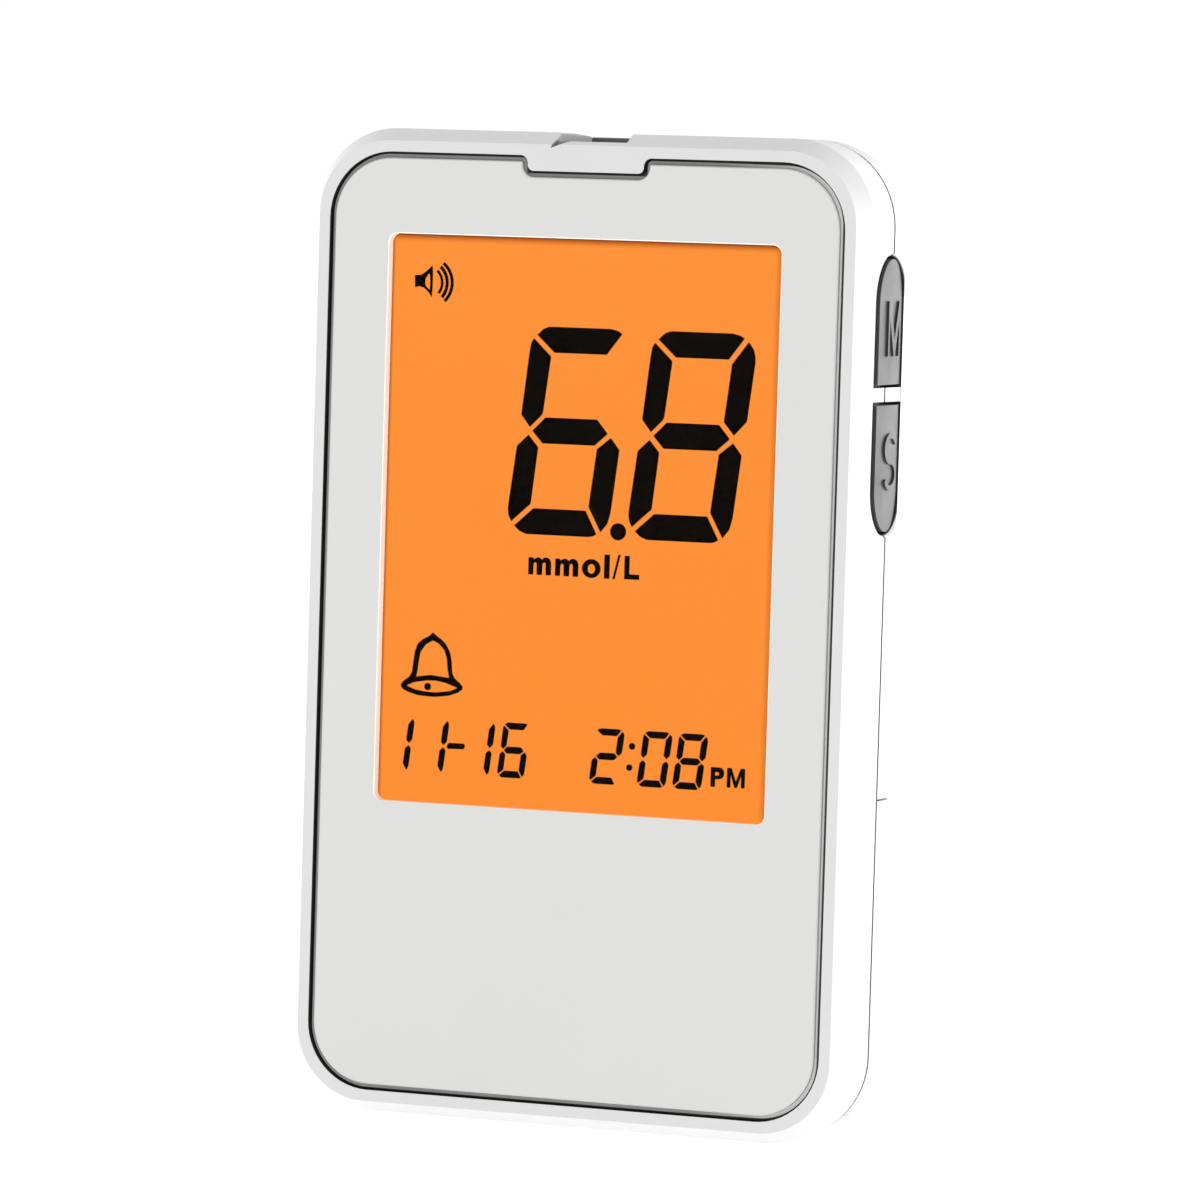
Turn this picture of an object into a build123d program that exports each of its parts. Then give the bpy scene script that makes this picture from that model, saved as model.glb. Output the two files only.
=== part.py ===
from build123d import *
from math import sqrt
import os

# A hand-held blood glucose meter, standing on its bottom end. Millimetres.
# +X is the side with the two buttons, +Y the back, +Z the end that takes the test strip.
# The origin is the middle of the bottom end. Most places behind the face are given as a
# depth, counted from the front face towards the back.

# ---------------------------------------------------------------- casing, overall
HEIGHT = 96.8
WIDTH = 58.25
DEPTH = 16.4
CORNER_R = 8.4          # corners of the outline, seen from the front
FOOT_SLOPE = 6.0        # degrees: a short straight slope starts each lower corner, so that it stands firmly
BACK_R = 6.5            # rounding between the side walls and the back
BEVEL_ACROSS = 1.2      # the bevel round the front face, measured across the face
BEVEL_BACK = 2.1        # and measured down the side wall
WALL = 1.6
PARTING = 7.7           # depth of the joint between the two casings
SEAM = 0.35             # the shadow gap in that joint
LIP_REACH = 1.15        # how far the rear casing's lip goes into the front casing
LIP_WALL = 0.75
FIT = 0.05              # play between pieces that plug into each other
TOUCH = 0.02            # play between pieces that only rest on each other

# ---------------------------------------------------------------- face panel and gasket
RIM = 2.3               # from the casing's side to the recess that the panel lies in
GROOVE = 0.6            # the groove left open between the casing and the panel
PANEL_T = 1.0
GASKET_T = 0.3          # the gasket's flange under the panel
GASKET_GAP = 0.2        # open gap between the casing and the gasket's rim
GASKET_SUNK = 0.5       # the gasket's rim stays this far below the face
GASKET_FLANGE = 2.0
TAB_W = 12.06           # the casing's tab that reaches into the panel under the strip port
TAB_DROP = 1.5
TAB_R = 0.6
SHOULDER_R = 0.8
PANEL_EDGE = 0.12       # broken edges of the panel
PLATE_T = 1.4           # the casing's front plate, behind the panel

# ---------------------------------------------------------------- display
VIEW_SIDE = 8.7         # from each side of the meter to the aperture in the panel
VIEW_ABOVE = 10.25      # from the aperture to the top end
VIEW_BELOW = 4.7        # from the aperture down to the battery bay
VIEW_R = 0.9
LENS_LAP = 1.15         # the window's border behind the panel
LENS_T = 0.8
DISPLAY_PLAY = 0.25     # between the window or the cell and the opening in the casing
CELL_GAP = 0.1          # air between the window and the cell
GLASS_T = 0.7           # each of the cell's two glasses
LEDGE = 3.4             # the front glass runs on past the rear one, for its contacts
GUIDE_T = 2.0
FILM_T = 0.2
FRAME_WALL = 0.8
FRAME_BACK_T = 0.6
LED_SIZE = (3.0, 0.9)   # across, and along the meter
LED_COUNT = 3
ZEBRA_IN = 1.4          # each end of the rubber strip lies this far inside the aperture
ZEBRA_T = 1.6

# ---------------------------------------------------------------- main board
BOARD_FRONT = 7.3
BOARD_T = 1.0
BOARD_SIDE = 6.925      # from the side of the meter to the board
BOARD_BELOW = 0.95      # from the board down to the battery bay
BOARD_ABOVE = 3.2       # from the board to the top end
WING_SIDE = 3.525       # the board is wider between the screw posts
WING_LOWER = 5.2        # heights of that wider part, from the lower and the upper posts
WING_UPPER = 4.0
BOARD_SCREW_IN = 1.4    # the board's screws lie this far in from the wider part's edge
BOARD_POST_R = 1.5
BOARD_SCREW_R = 0.6
BOARD_SCREW_HEAD_R = 1.3
BOARD_SCREW_HEAD_T = 0.7
BOARD_SCREW_L = 3.8

# ---------------------------------------------------------------- casing screws
POST_SIDE = 4.525       # from the side of the meter
POST_LOWER = 3.6        # the lower posts, above the board's lower edge
POST_UPPER = 7.4        # the upper posts, below the top end
POST_R = 1.9
BOSS_R = 2.4
SCREW_R = 0.75
SCREW_HEAD_R = 1.5
SCREW_HEAD_T = 1.0
SCREW_SEAT = 12.6       # depth of the face that the heads bear on
SCREW_L = 8.2
HEAD_PLAY = 0.25
POST_END = 7.9          # the front casing's posts
BOSS_END = 8.0          # the rear casing's bosses

# ---------------------------------------------------------------- strip port
SCOOP_LEFT = (3.4, 2.4)     # from the middle plane to its left wall, at the front and at the joint
SCOOP_RIGHT = 4.0
SCOOP_REAR = 5.2        # half its width behind the joint
SCOOP_DEPTH = 0.85
DISH_REACH = 4.2        # the top is dished a little to the left of the scoop
DISH_DROP = 0.3
THUMB_TIP = (3.7, 0.7)      # a notch in the bevel: its tip, left of the middle and under the floor
THUMB_END = 1.9
THUMB_DEPTH = 1.2
PORT_W = 6.0
PORT_DEPTH = (8.8, 11.6)
PORT_SUNK = 0.33        # below the top of the casing
PORT_EDGE = 0.12
PORT_FOOT = 2.0         # how far it goes down inside
SLOT_W = 5.4
SLOT_T = 1.1
SLOT_AT = 9.95          # depth of the middle of the slot
CONNECTOR_H = 9.0
CONNECTOR_GAP = 0.3
CONTACT_COUNT = 3
CONTACT_PITCH = 1.5
LEAF_T = 0.2            # sprung metal leaves

# ---------------------------------------------------------------- buttons
BUTTON_ABOVE = 10.95    # from the top end to the long pocket that holds both buttons
BUTTON_L = 26.85
POCKET_R = 4.5
POCKET_SINK = 0.5
POCKET_EDGE = 0.3
BRIDGE_UP = 12.78       # from the low end of the pocket to the bar between the two buttons
BRIDGE_T = 1.4
BUTTON_GAP = 0.3
BUTTON_PROUD = 0.25     # at the crown's highest line
CROWN_R = 68.0
CROWN_AT = 1.6          # depth of that line, so that the keys lean back
CAP_WALL = 1.0
CAP_SINK = 2.625        # from the side of the meter to the cap's inner rim
CAP_TOP_T = 1.2
TAB_HALF = 1.8          # the catches that keep a cap in, half across
TAB_REACH = 0.6
STEM_R = 1.4
BUTTON_TRAVEL = 0.5
LETTER_W = 4.6
LETTER_H = 5.3
LETTER_STROKE = 0.5
LETTER_RISE = 0.22      # the letters stand out from the keys
LETTER_SHIFT = 0.65     # each letter sits this much nearer the bar
LETTER_VALLEY = 0.31    # height of the notch in the M, as a share of its own height
LETTER_BACK = 0.5       # the letters sit this far behind the joint
LETTER_OVER = 0.12      # the round ends of the S reach past the M's
SWITCH_SIZE = (3.5, 3.4, 6.0)   # across, deep, along
SWITCH_SIDE = 8.525     # from the side of the meter to the far side of the switch
PLUNGER_R = 0.9
PLUNGER_OUT = 0.8
PLUNGER_IN = 1.4

# ---------------------------------------------------------------- batteries and their door
SPRING_L = 3.04
NUB_R = 1.9
NUB_L = 1.0
CELL_PLAY = 0.35        # round each battery
CELL_FRONT = 4.2        # depth of the batteries' front
BAY_EACH_SIDE = 5.025   # from each side of the meter to the bay
BAY_WALL = 1.0
BAY_SIDE = 1.2
BAY_CORNER = 2.6        # how far the bay's corners stay inside the outline
DOOR_ABOVE = 0.2        # the door's upper edge, above the bosses that it hides
END_RAIL = 2.4          # height of the rear casing's own bottom end, below the door
DOOR_WALL = 1.4
DOOR_PLAY = 0.3
DOOR_SEAM = 0.2
SKIN_T = 1.35           # the rear casing's wall under the door
STEP_T = 1.6
LATCH_W = 11.0
LATCH_L = 7.0
LATCH_SLOT = 0.6
GRIP_COUNT = 3
GRIP_PITCH = 1.8
GRIP_T = 0.8
GRIP_CUT = 0.45         # the grips are grooves, so that the back lies flat
NOTCH_R = 5.5           # finger notch in the casing above the latch
NOTCH_DEPTH = 0.9
PLATE_METAL = 0.3
PLATE_IN = (1.0, 1.3)   # the plates, inside the batteries' front and back
TAIL_W = 1.2            # the lower plate's tail, which passes in front of the upper plate
PLATE_SPACE = 0.5
LEG_W = 2.0
LEG_FOOT = 3.5
SPRING_R = 2.6
SPRING_WIRE_R = 0.25
SPRING_TURNS = 3

# ---------------------------------------------------------------- speaker and back
SPEAKER_ABOVE = 22.8    # from the speaker's middle to the top end
SPEAKER_R = 8.0
SPEAKER_T = 3.0
SPEAKER_PAD = 0.3
SPEAKER_RING = 0.8
GRILLE_COUNT = 5
GRILLE_PITCH = 2.2
GRILLE_T = 1.0
GRILLE_LENGTH = 9.0
RECESS_UP = 7.1         # from the door to the shallow bare recess for a rating plate
RECESS_BELOW = 13.5     # from the speaker's middle down to it
RECESS_SIDE = 11.1      # from each side of the meter
RECESS_R = 2.0
RECESS_SINK = 0.25

# ---------------------------------------------------------------- worked out from those
MID_Z = HEIGHT / 2
HALF_W = WIDTH / 2
FIELD_W = WIDTH - 2 * RIM
FIELD_H = HEIGHT - 2 * RIM
FIELD_R = 6.5
FIELD_TOP = HEIGHT - RIM
PANEL_SEAT = PANEL_T + GASKET_T
PLATE_BACK = PANEL_SEAT + PLATE_T

LOWER_INSET = DOOR_WALL + DOOR_PLAY
BACK_INNER = DEPTH - WALL
CELL_R = (DEPTH - LOWER_INSET - CELL_FRONT) / 2
BATTERY_AXIS = CELL_FRONT + CELL_R
PLATE_DEPTH = (CELL_FRONT + PLATE_IN[0], CELL_FRONT + 2 * CELL_R - PLATE_IN[1])
BAY_FLOOR = CELL_FRONT - 0.2
BAY_LOW = LOWER_INSET + 1.5
BATTERY_Z = (BAY_LOW + CELL_PLAY + CELL_R, BAY_LOW + 2 * CELL_PLAY + 3 * CELL_R)
BAY_TOP = BATTERY_Z[1] + CELL_R + CELL_PLAY
BAY_END = BAY_TOP + BAY_WALL
BAY_HALF = HALF_W - BAY_EACH_SIDE
CELL_L = 2 * (BAY_HALF - PLATE_METAL) - SPRING_L - 3 * TOUCH

VIEW_LOW = BAY_END + VIEW_BELOW
VIEW_TOP = HEIGHT - VIEW_ABOVE
VIEW_W = WIDTH - 2 * VIEW_SIDE
LENS_BACK = PANEL_T + LENS_T
CELL_TOP_GLASS = LENS_BACK + CELL_GAP
GLASS_BACK = CELL_TOP_GLASS + 2 * GLASS_T
GUIDE_FRONT = GLASS_BACK + CELL_GAP
GUIDE_BACK = GUIDE_FRONT + GUIDE_T
FILM_BACK = GUIDE_BACK + FILM_T
FRAME_FLOOR = FILM_BACK + CELL_GAP
GLASS_W = VIEW_W + 2 * LENS_LAP
GLASS_LOW = VIEW_LOW - LENS_LAP - 0.5
REAR_GLASS_TOP = VIEW_TOP + LENS_LAP + 0.6
FRONT_GLASS_TOP = REAR_GLASS_TOP + LEDGE
FRAME_W = GLASS_W + 2 * (FRAME_WALL + TOUCH)
FRAME_LOW = GLASS_LOW - FRAME_WALL - TOUCH
FRAME_TOP = FRONT_GLASS_TOP + FRAME_WALL + TOUCH
LED_PITCH = VIEW_W / (LED_COUNT + 0.4)

BOARD_BACK = BOARD_FRONT + BOARD_T
BOARD_LOW = BAY_END + BOARD_BELOW
BOARD_TOP = HEIGHT - BOARD_ABOVE
BOARD_W = WIDTH - 2 * BOARD_SIDE
POST_X = HALF_W - POST_SIDE
POST_Z = (BOARD_LOW + POST_LOWER, HEIGHT - POST_UPPER)
WING_W = WIDTH - 2 * WING_SIDE
WING_LOW = POST_Z[0] + WING_LOWER
WING_TOP = POST_Z[1] - WING_UPPER
DOOR_TOP = POST_Z[0] + BOSS_R + DOOR_ABOVE

BUTTON_TOP = HEIGHT - BUTTON_ABOVE
BUTTON_LOW = BUTTON_TOP - BUTTON_L
BRIDGE_LOW = BUTTON_LOW + BRIDGE_UP
BRIDGE_TOP = BRIDGE_LOW + BRIDGE_T
CAP_INNER = HALF_W - CAP_SINK
CROWN_TOP = HALF_W + BUTTON_PROUD
SWITCH_X = HALF_W - SWITCH_SIDE
SWITCH_MID = BOARD_BACK + SWITCH_SIZE[1] / 2
SWITCH_OUT = SWITCH_X + SWITCH_SIZE[0]
BUTTONS = {             # each button's opening: low end, high end, where its letter goes
    "m": (BRIDGE_TOP, BUTTON_TOP, (BRIDGE_TOP + BUTTON_TOP) / 2 - LETTER_SHIFT),
    "s": (BUTTON_LOW, BRIDGE_LOW, (BUTTON_LOW + BRIDGE_LOW) / 2 + LETTER_SHIFT),
}

BOARD_SCREW_X = WING_W / 2 - BOARD_SCREW_IN
BOARD_SCREW_AT = (
    (-BOARD_SCREW_X, WING_LOW + 2 * BOARD_POST_R + 1),
    (BOARD_SCREW_X, WING_LOW + 2 * BOARD_POST_R + 1),
    (-BOARD_SCREW_X, WING_TOP - 3 * BOARD_POST_R - 1),
    (BOARD_SCREW_X, BUTTON_LOW - 4 * BOARD_POST_R),
)
SPEAKER_Z = HEIGHT - SPEAKER_ABOVE
PLATE_LOW = DOOR_TOP + RECESS_UP
PLATE_TOP = SPEAKER_Z - RECESS_BELOW
RECESS_W = WIDTH - 2 * RECESS_SIDE


# ---------------------------------------------------------------- ways to make a shape
def y_at(depth):
    """The row's Y at a depth behind the front face."""
    return depth - DEPTH / 2


def slab(shape, front, back):
    """An outline drawn across (X) and up (Z), made solid between two depths."""
    plane = Plane(origin=(0, y_at(back), 0), x_dir=(1, 0, 0), z_dir=(0, -1, 0))
    return extrude(plane * shape, back - front)


def block(x, depth, z):
    """A box between two values of X, of depth and of height."""
    middle = (sum(x) / 2, y_at(sum(depth) / 2), sum(z) / 2)
    return Pos(*middle) * Box(x[1] - x[0], depth[1] - depth[0], z[1] - z[0])


def rod(x, z, radius, front, back):
    """A round bar or hole that runs from front to back."""
    return slab(Pos(x, z) * Circle(radius), front, back)


def sideways(shape, inner, outer):
    """An outline drawn back (Y) and up (Z), made solid between two values of X."""
    plane = Plane(origin=(inner, 0, 0), x_dir=(0, 1, 0), z_dir=(1, 0, 0))
    return extrude(plane * shape, outer - inner, dir=(1, 0, 0))


def band(low, high):
    """Everything between two heights, wide enough to cut or keep any piece."""
    return block((-WIDTH, WIDTH), (-DEPTH, 2 * DEPTH), (low, high))


def outline(inset=0.0):
    """The meter's outline seen from the front, drawn in by an inset."""
    return Pos(0, MID_Z) * RectangleRounded(WIDTH - 2 * inset, HEIGHT - 2 * inset, CORNER_R - inset)


def rear_form(inset, front):
    """The rear half's rounded form, drawn in on every side, from a depth to its back."""
    body = slab(outline(inset), front, DEPTH - inset)
    return fillet(body.faces().sort_by(Axis.Y)[-1].edges(), BACK_R - inset)


def foot_ease():
    """The slivers taken off below the lower corners, where each starts with a straight slope."""
    sliver = Rectangle(CORNER_R, 1, align=(Align.CENTER, Align.MAX))
    foot = WIDTH / 2 - CORNER_R
    left = Pos(-foot, 0) * Rot(0, 0, -FOOT_SLOPE) * sliver
    right = Pos(foot, 0) * Rot(0, 0, FOOT_SLOPE) * sliver
    return slab(left, -1, DEPTH + 1) + slab(right, -1, DEPTH + 1)


def corners_at(shape, x, y):
    """The corners of an outline that lie at plus or minus x, at height y."""
    near = 1e-3
    return [v for v in shape.vertices() if abs(abs(v.X) - x) < near and abs(v.Y - y) < near]


def plain_field(inset=0.0):
    """The rounded rectangle that the panel's place is cut from, drawn in by an inset."""
    size = (FIELD_W - 2 * inset, FIELD_H - 2 * inset)
    return Pos(0, MID_Z) * RectangleRounded(*size, FIELD_R - inset)


def field(inset=0.0):
    """The panel's place in the casing, with the notch for the tab, drawn in by an inset."""
    half = TAB_W / 2 + inset
    low = FIELD_TOP - TAB_DROP - inset
    tab = Pos(0, (low + HEIGHT) / 2) * Rectangle(2 * half, HEIGHT - low)
    shape = plain_field(inset) - tab
    shape = fillet(corners_at(shape, half, low), TAB_R + inset)
    return fillet(corners_at(shape, half, FIELD_TOP - inset), SHOULDER_R - inset)


def upright(width, low, high, radius):
    """A rounded rectangle on the middle line between two heights."""
    return Pos(0, (low + high) / 2) * RectangleRounded(width, high - low, radius)


def view_outline(grow=0.0):
    """The aperture over the display, let out by a margin."""
    return upright(VIEW_W + 2 * grow, VIEW_LOW - grow, VIEW_TOP + grow, VIEW_R)


# ---------------------------------------------------------------- strip port
def scoop():
    """The finger scoop: a channel and a dish in the front half, wider behind, and a thumb notch."""
    low, high = HEIGHT - SCOOP_DEPTH, HEIGHT + 1
    front, bend, joint = y_at(-BEVEL_BACK), y_at(BEVEL_BACK), y_at(PARTING)
    left, inner = -SCOOP_LEFT[0], -SCOOP_LEFT[1]
    wall = [(left, front), (left, bend), (inner, joint)]
    channel = Polygon(*wall, (SCOOP_RIGHT, joint), (SCOOP_RIGHT, front), align=None)
    cut = extrude(Pos(0, 0, low) * channel, high - low, dir=(0, 0, 1))
    rear = block((-SCOOP_REAR, SCOOP_REAR), (PARTING, DEPTH - BACK_R / 3), (low, high))
    slope = [(-DISH_REACH, high), (-DISH_REACH, HEIGHT), (inner, HEIGHT - DISH_DROP)]
    dish = slab(Polygon(*slope, (inner, high), align=None), BEVEL_BACK, PARTING)
    tip = (-THUMB_TIP[0], low - THUMB_TIP[1])
    notch = [tip, (-THUMB_END, low), (left, low + THUMB_TIP[1] / 4)]
    return cut + rear + dish + slab(Polygon(*notch, align=None), -1, THUMB_DEPTH)


def port_hole():
    """The hole in the top wall that the strip port's insert fills."""
    half = PORT_W / 2 + FIT
    depth = (PORT_DEPTH[0] - FIT, PORT_DEPTH[1] + FIT)
    return block((-half, half), depth, (HEIGHT - SCOOP_DEPTH - WALL, HEIGHT + 1))


def strip_port():
    """The dark insert that guides the strip into the connector."""
    low, high = HEIGHT - SCOOP_DEPTH - PORT_FOOT, HEIGHT - PORT_SUNK
    half = PORT_W / 2
    body = block((-half, half), PORT_DEPTH, (low, high))
    slot = ((-SLOT_W / 2, SLOT_W / 2), (SLOT_AT - SLOT_T / 2, SLOT_AT + SLOT_T / 2))
    top = body.faces().sort_by(Axis.Z)[-1]
    body = chamfer(top.edges(), PORT_EDGE)
    return body - block(*slot, (low - 1, high + 1))


def strip_connector():
    """The connector's housing on the back of the board, with its slot under the port's."""
    high = HEIGHT - SCOOP_DEPTH - PORT_FOOT - CONNECTOR_GAP
    low = high - CONNECTOR_H
    half = PORT_W / 2
    body = block((-half, half), (BOARD_BACK, PORT_DEPTH[1]), (low, high))
    slot_depth = (SLOT_AT - SLOT_T / 2, SLOT_AT + SLOT_T / 2)
    body -= block((-SLOT_W / 2, SLOT_W / 2), slot_depth, (low + 1.2, high + 1))
    trough = (BOARD_BACK - 1, SLOT_AT)
    for x in contact_places():
        body -= block((x - 0.5, x + 0.5), trough, (low + 1.2, high - 0.8))
        body -= block((x - 0.5, x + 0.5), (BOARD_BACK - 1, BOARD_BACK + 0.5), (low - 1, low + 2))
    return body


def contact_places():
    """Where the strip's contacts lie across the connector."""
    first = -(CONTACT_COUNT - 1) / 2
    return [(first + n) * CONTACT_PITCH for n in range(CONTACT_COUNT)]


def strip_contacts():
    """Bent metal leaves, from a foot on the board up to the strip's slot."""
    low = HEIGHT - SCOOP_DEPTH - PORT_FOOT - CONNECTOR_GAP - CONNECTOR_H
    near = y_at(BOARD_BACK + LEAF_T / 2 + TOUCH)
    far = y_at(SLOT_AT - 0.2)
    path = Polyline((near, low - 0.8), (near, low + 2.4), (far, low + 5.2), (near + 0.1, low + 7.0))
    leaf = trace(path, LEAF_T)
    leaves = [sideways(leaf, x - 0.35, x + 0.35) for x in contact_places()]
    return Compound(children=[leaf.solids()[0] for leaf in leaves])


# ---------------------------------------------------------------- button pocket and caps
def pill(low, high, radius):
    """A slot-shaped outline on the joint line of the side wall."""
    middle = Pos(y_at(PARTING), (low + high) / 2)
    return middle * SlotOverall(high - low, 2 * radius, rotation=90)


def button_pocket():
    """What both casings lose on the button side: the pocket, its edge and two openings."""
    whole = pill(BUTTON_LOW, BUTTON_TOP, POCKET_R)
    floor = HALF_W - POCKET_SINK
    edge = HALF_W - POCKET_EDGE
    plane = Plane(origin=(edge, 0, 0), x_dir=(0, 1, 0), z_dir=(1, 0, 0))
    cut = sideways(whole, floor, HALF_W + 1) + extrude(plane * whole, 2 * POCKET_EDGE, taper=-45)
    through = sideways(whole, CAP_INNER + 0.1, HALF_W)
    return cut + (through - band(BRIDGE_LOW, BRIDGE_TOP))


def letter_m():
    """A plain capital M: two upright bars and a V that stands on the same line."""
    w, h, bar = LETTER_W / 2, LETTER_H / 2, LETTER_STROKE
    crest, foot = w - 1.3 * bar, 0.45 * bar
    notch = -h + 2 * h * LETTER_VALLEY
    meet = -h + (h - notch) / crest * (w - bar - foot)
    left = [(-w, -h), (-w, h), (-crest, h), (0, notch)]
    right = [(crest, h), (w, h), (w, -h), (w - bar, -h), (w - bar, meet), (foot, -h)]
    return Polygon(*left, *right, (-foot, -h), (bar - w, meet), (bar - w, -h), align=None)


def letter_s():
    """A plain capital S of two half ellipses and their ends."""
    across = (LETTER_W - LETTER_STROKE) / 2
    up = (LETTER_H + 2 * LETTER_OVER - LETTER_STROKE) / 4
    upper = EllipticalCenterArc((0, up), across, up, start_angle=25, arc_size=245)
    lower = EllipticalCenterArc((0, -up), across, up, start_angle=205, arc_size=245)
    return trace(upper + lower, LETTER_STROKE)


def button_cap(name):
    """One key: a crowned pill, hollow from behind, with its letter, a stem and two catches."""
    low, high, letter_z = BUTTONS[name]
    whole = pill(BUTTON_LOW + BUTTON_GAP, BUTTON_TOP - BUTTON_GAP, POCKET_R - BUTTON_GAP)
    keep = band(low + BUTTON_GAP, high - BUTTON_GAP)
    axis = Plane(origin=(CROWN_TOP - CROWN_R, y_at(CROWN_AT), 0))
    crown = extrude(axis * Circle(CROWN_R), HEIGHT)
    cap = sideways(whole, CAP_INNER, CROWN_TOP) & crown & keep
    inner_r = POCKET_R - BUTTON_GAP - CAP_WALL
    ends = pill(BUTTON_LOW + BUTTON_GAP + CAP_WALL, BUTTON_TOP - BUTTON_GAP - CAP_WALL, inner_r)
    hollow = sideways(ends, CAP_INNER - 1, CROWN_TOP) & extrude(axis * Circle(CROWN_R - CAP_TOP_T), HEIGHT)
    cap -= hollow & band(low + BUTTON_GAP + CAP_WALL, high - BUTTON_GAP - CAP_WALL)
    tip = SWITCH_OUT + PLUNGER_OUT + TOUCH
    stem_at = Pos(y_at(SWITCH_MID), (low + high) / 2)
    cap += sideways(stem_at * Circle(STEM_R), tip, CROWN_TOP - CAP_TOP_T)
    for start, stop in ((low - TAB_REACH, low + 1), (high - 1, high + TAB_REACH)):
        catch = ((CAP_INNER, HALF_W - WALL - FIT), (PARTING - TAB_HALF, PARTING + TAB_HALF), (start, stop))
        cap += block(*catch)
    shape = letter_m() if name == "m" else letter_s()
    letter = sideways(Pos(y_at(PARTING + LETTER_BACK), letter_z) * shape, CROWN_TOP - CAP_TOP_T, CROWN_TOP + 1)
    return cap + (letter & extrude(axis * Circle(CROWN_R + LETTER_RISE), HEIGHT))


def switch_body(name):
    """A side-press switch on the back of the board, bored for its plunger."""
    low, high, _ = BUTTONS[name]
    middle = (low + high) / 2
    half = SWITCH_SIZE[2] / 2
    body = block((SWITCH_X, SWITCH_OUT), (BOARD_BACK, BOARD_BACK + SWITCH_SIZE[1]), (middle - half, middle + half))
    at = Pos(y_at(SWITCH_MID), middle)
    depth = PLUNGER_IN + BUTTON_TRAVEL + FIT
    return body - sideways(at * Circle(PLUNGER_R + FIT), SWITCH_OUT - depth, SWITCH_OUT + 1)


def switch_plunger(name):
    """The switch's own plunger, which the stem of the cap pushes."""
    low, high, _ = BUTTONS[name]
    at = Pos(y_at(SWITCH_MID), (low + high) / 2)
    return sideways(at * Circle(PLUNGER_R), SWITCH_OUT - PLUNGER_IN, SWITCH_OUT + PLUNGER_OUT)


# ---------------------------------------------------------------- casings
def post_places():
    """Where the casing screws go."""
    return [(side * POST_X, z) for z in POST_Z for side in (-1, 1)]


def front_casing():
    """The front shell: bevelled rim, recess for the panel, plate, posts and half the pocket."""
    body = slab(outline(), 0, PARTING - SEAM / 2)
    face = body.faces().sort_by(Axis.Y)[0]
    body = chamfer(face.edges(), BEVEL_ACROSS, BEVEL_BACK, reference=face)
    body -= slab(outline(WALL), PLATE_BACK, PARTING)
    rebate = slab(outline(WALL - LIP_WALL - FIT), PARTING - LIP_REACH - SEAM / 2, PARTING)
    body -= rebate & band(DOOR_TOP - FIT, 2 * HEIGHT)
    body -= slab(field(), -1, PANEL_SEAT)
    opening = upright(GLASS_W + 2 * DISPLAY_PLAY, GLASS_LOW - DISPLAY_PLAY, FRONT_GLASS_TOP + DISPLAY_PLAY, VIEW_R)
    body -= slab(opening, 0, PLATE_BACK + 1)
    for x, z in post_places():
        body += rod(x, z, POST_R, PLATE_BACK, POST_END)
        body -= rod(x, z, SCREW_R + FIT, SCREW_SEAT - SCREW_L - 0.5, POST_END + 1)
    for x, z in BOARD_SCREW_AT:
        body += rod(x, z, BOARD_POST_R, PLATE_BACK, BOARD_FRONT)
        body -= rod(x, z, BOARD_SCREW_R + FIT, BOARD_BACK - BOARD_SCREW_L - 0.3, BOARD_FRONT + 1)
    return body - port_hole() - scoop() - button_pocket() - foot_ease()


def rear_casing():
    """The rear shell, stepped in under the door, with the bottom end, battery bay and bosses."""
    front = PARTING + SEAM / 2
    outer = rear_form(0, front)
    body = outer - rear_form(WALL, front - 1)
    reach = PARTING - LIP_REACH
    lip = slab(outline(WALL - LIP_WALL) - outline(WALL), reach, front + FIT)
    body = (body + lip) & band(DOOR_TOP, 2 * HEIGHT)
    step = (outer - rear_form(LOWER_INSET + SKIN_T, front - 1)) & band(DOOR_TOP, DOOR_TOP + STEP_T)
    skin = rear_form(LOWER_INSET, reach) - rear_form(LOWER_INSET + SKIN_T, reach - 1)
    tub_half = BAY_HALF + BAY_SIDE
    tub = rear_form(LOWER_INSET, BAY_FLOOR - BAY_WALL)
    tub &= block((-tub_half, tub_half), (0, DEPTH), (0, BAY_END))
    rail = (outer - rear_form(LOWER_INSET + SKIN_T, front - 1)) & band(0, END_RAIL)
    body += step + rail + (skin & band(0, DOOR_TOP)) + tub
    bay = slab(outline(BAY_CORNER), BAY_FLOOR, DEPTH) & band(BAY_LOW, BAY_TOP)
    body -= bay & block((-BAY_HALF, BAY_HALF), (0, DEPTH), (0, HEIGHT))
    body -= tail_slots()
    for x, z in post_places():
        body -= rod(x, z, POST_R + DOOR_PLAY, 0, BOSS_END)
        form = outer if z > DOOR_TOP else rear_form(LOWER_INSET, front)
        body += rod(x, z, BOSS_R, BOSS_END, DEPTH) & form
        body -= rod(x, z, SCREW_R + 3 * FIT, 0, DEPTH)
        body -= rod(x, z, SCREW_HEAD_R + HEAD_PLAY, SCREW_SEAT, DEPTH + 1)
    body += speaker_ring()
    for n in range(GRILLE_COUNT):
        z = SPEAKER_Z + (n - (GRILLE_COUNT - 1) / 2) * GRILLE_PITCH
        body -= slab(Pos(0, z) * SlotOverall(GRILLE_LENGTH, GRILLE_T), BACK_INNER - 1, DEPTH + 1)
    body -= slab(upright(RECESS_W, PLATE_LOW, PLATE_TOP, RECESS_R), DEPTH - RECESS_SINK, DEPTH + 1)
    notch = Pos(0, DOOR_TOP) * Circle(NOTCH_R)
    body -= slab(notch, DEPTH - NOTCH_DEPTH, DEPTH + 1) & band(DOOR_TOP, HEIGHT)
    return body - port_hole() - scoop() - button_pocket() - foot_ease()


def speaker_ring():
    """The low wall on the inside of the back that the speaker drops into."""
    outer, inner = SPEAKER_R + FIT + SPEAKER_RING, SPEAKER_R + FIT
    ring = slab(Pos(0, SPEAKER_Z) * (Circle(outer) - Circle(inner)), BACK_INNER - 2, BACK_INNER)
    return ring


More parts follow.
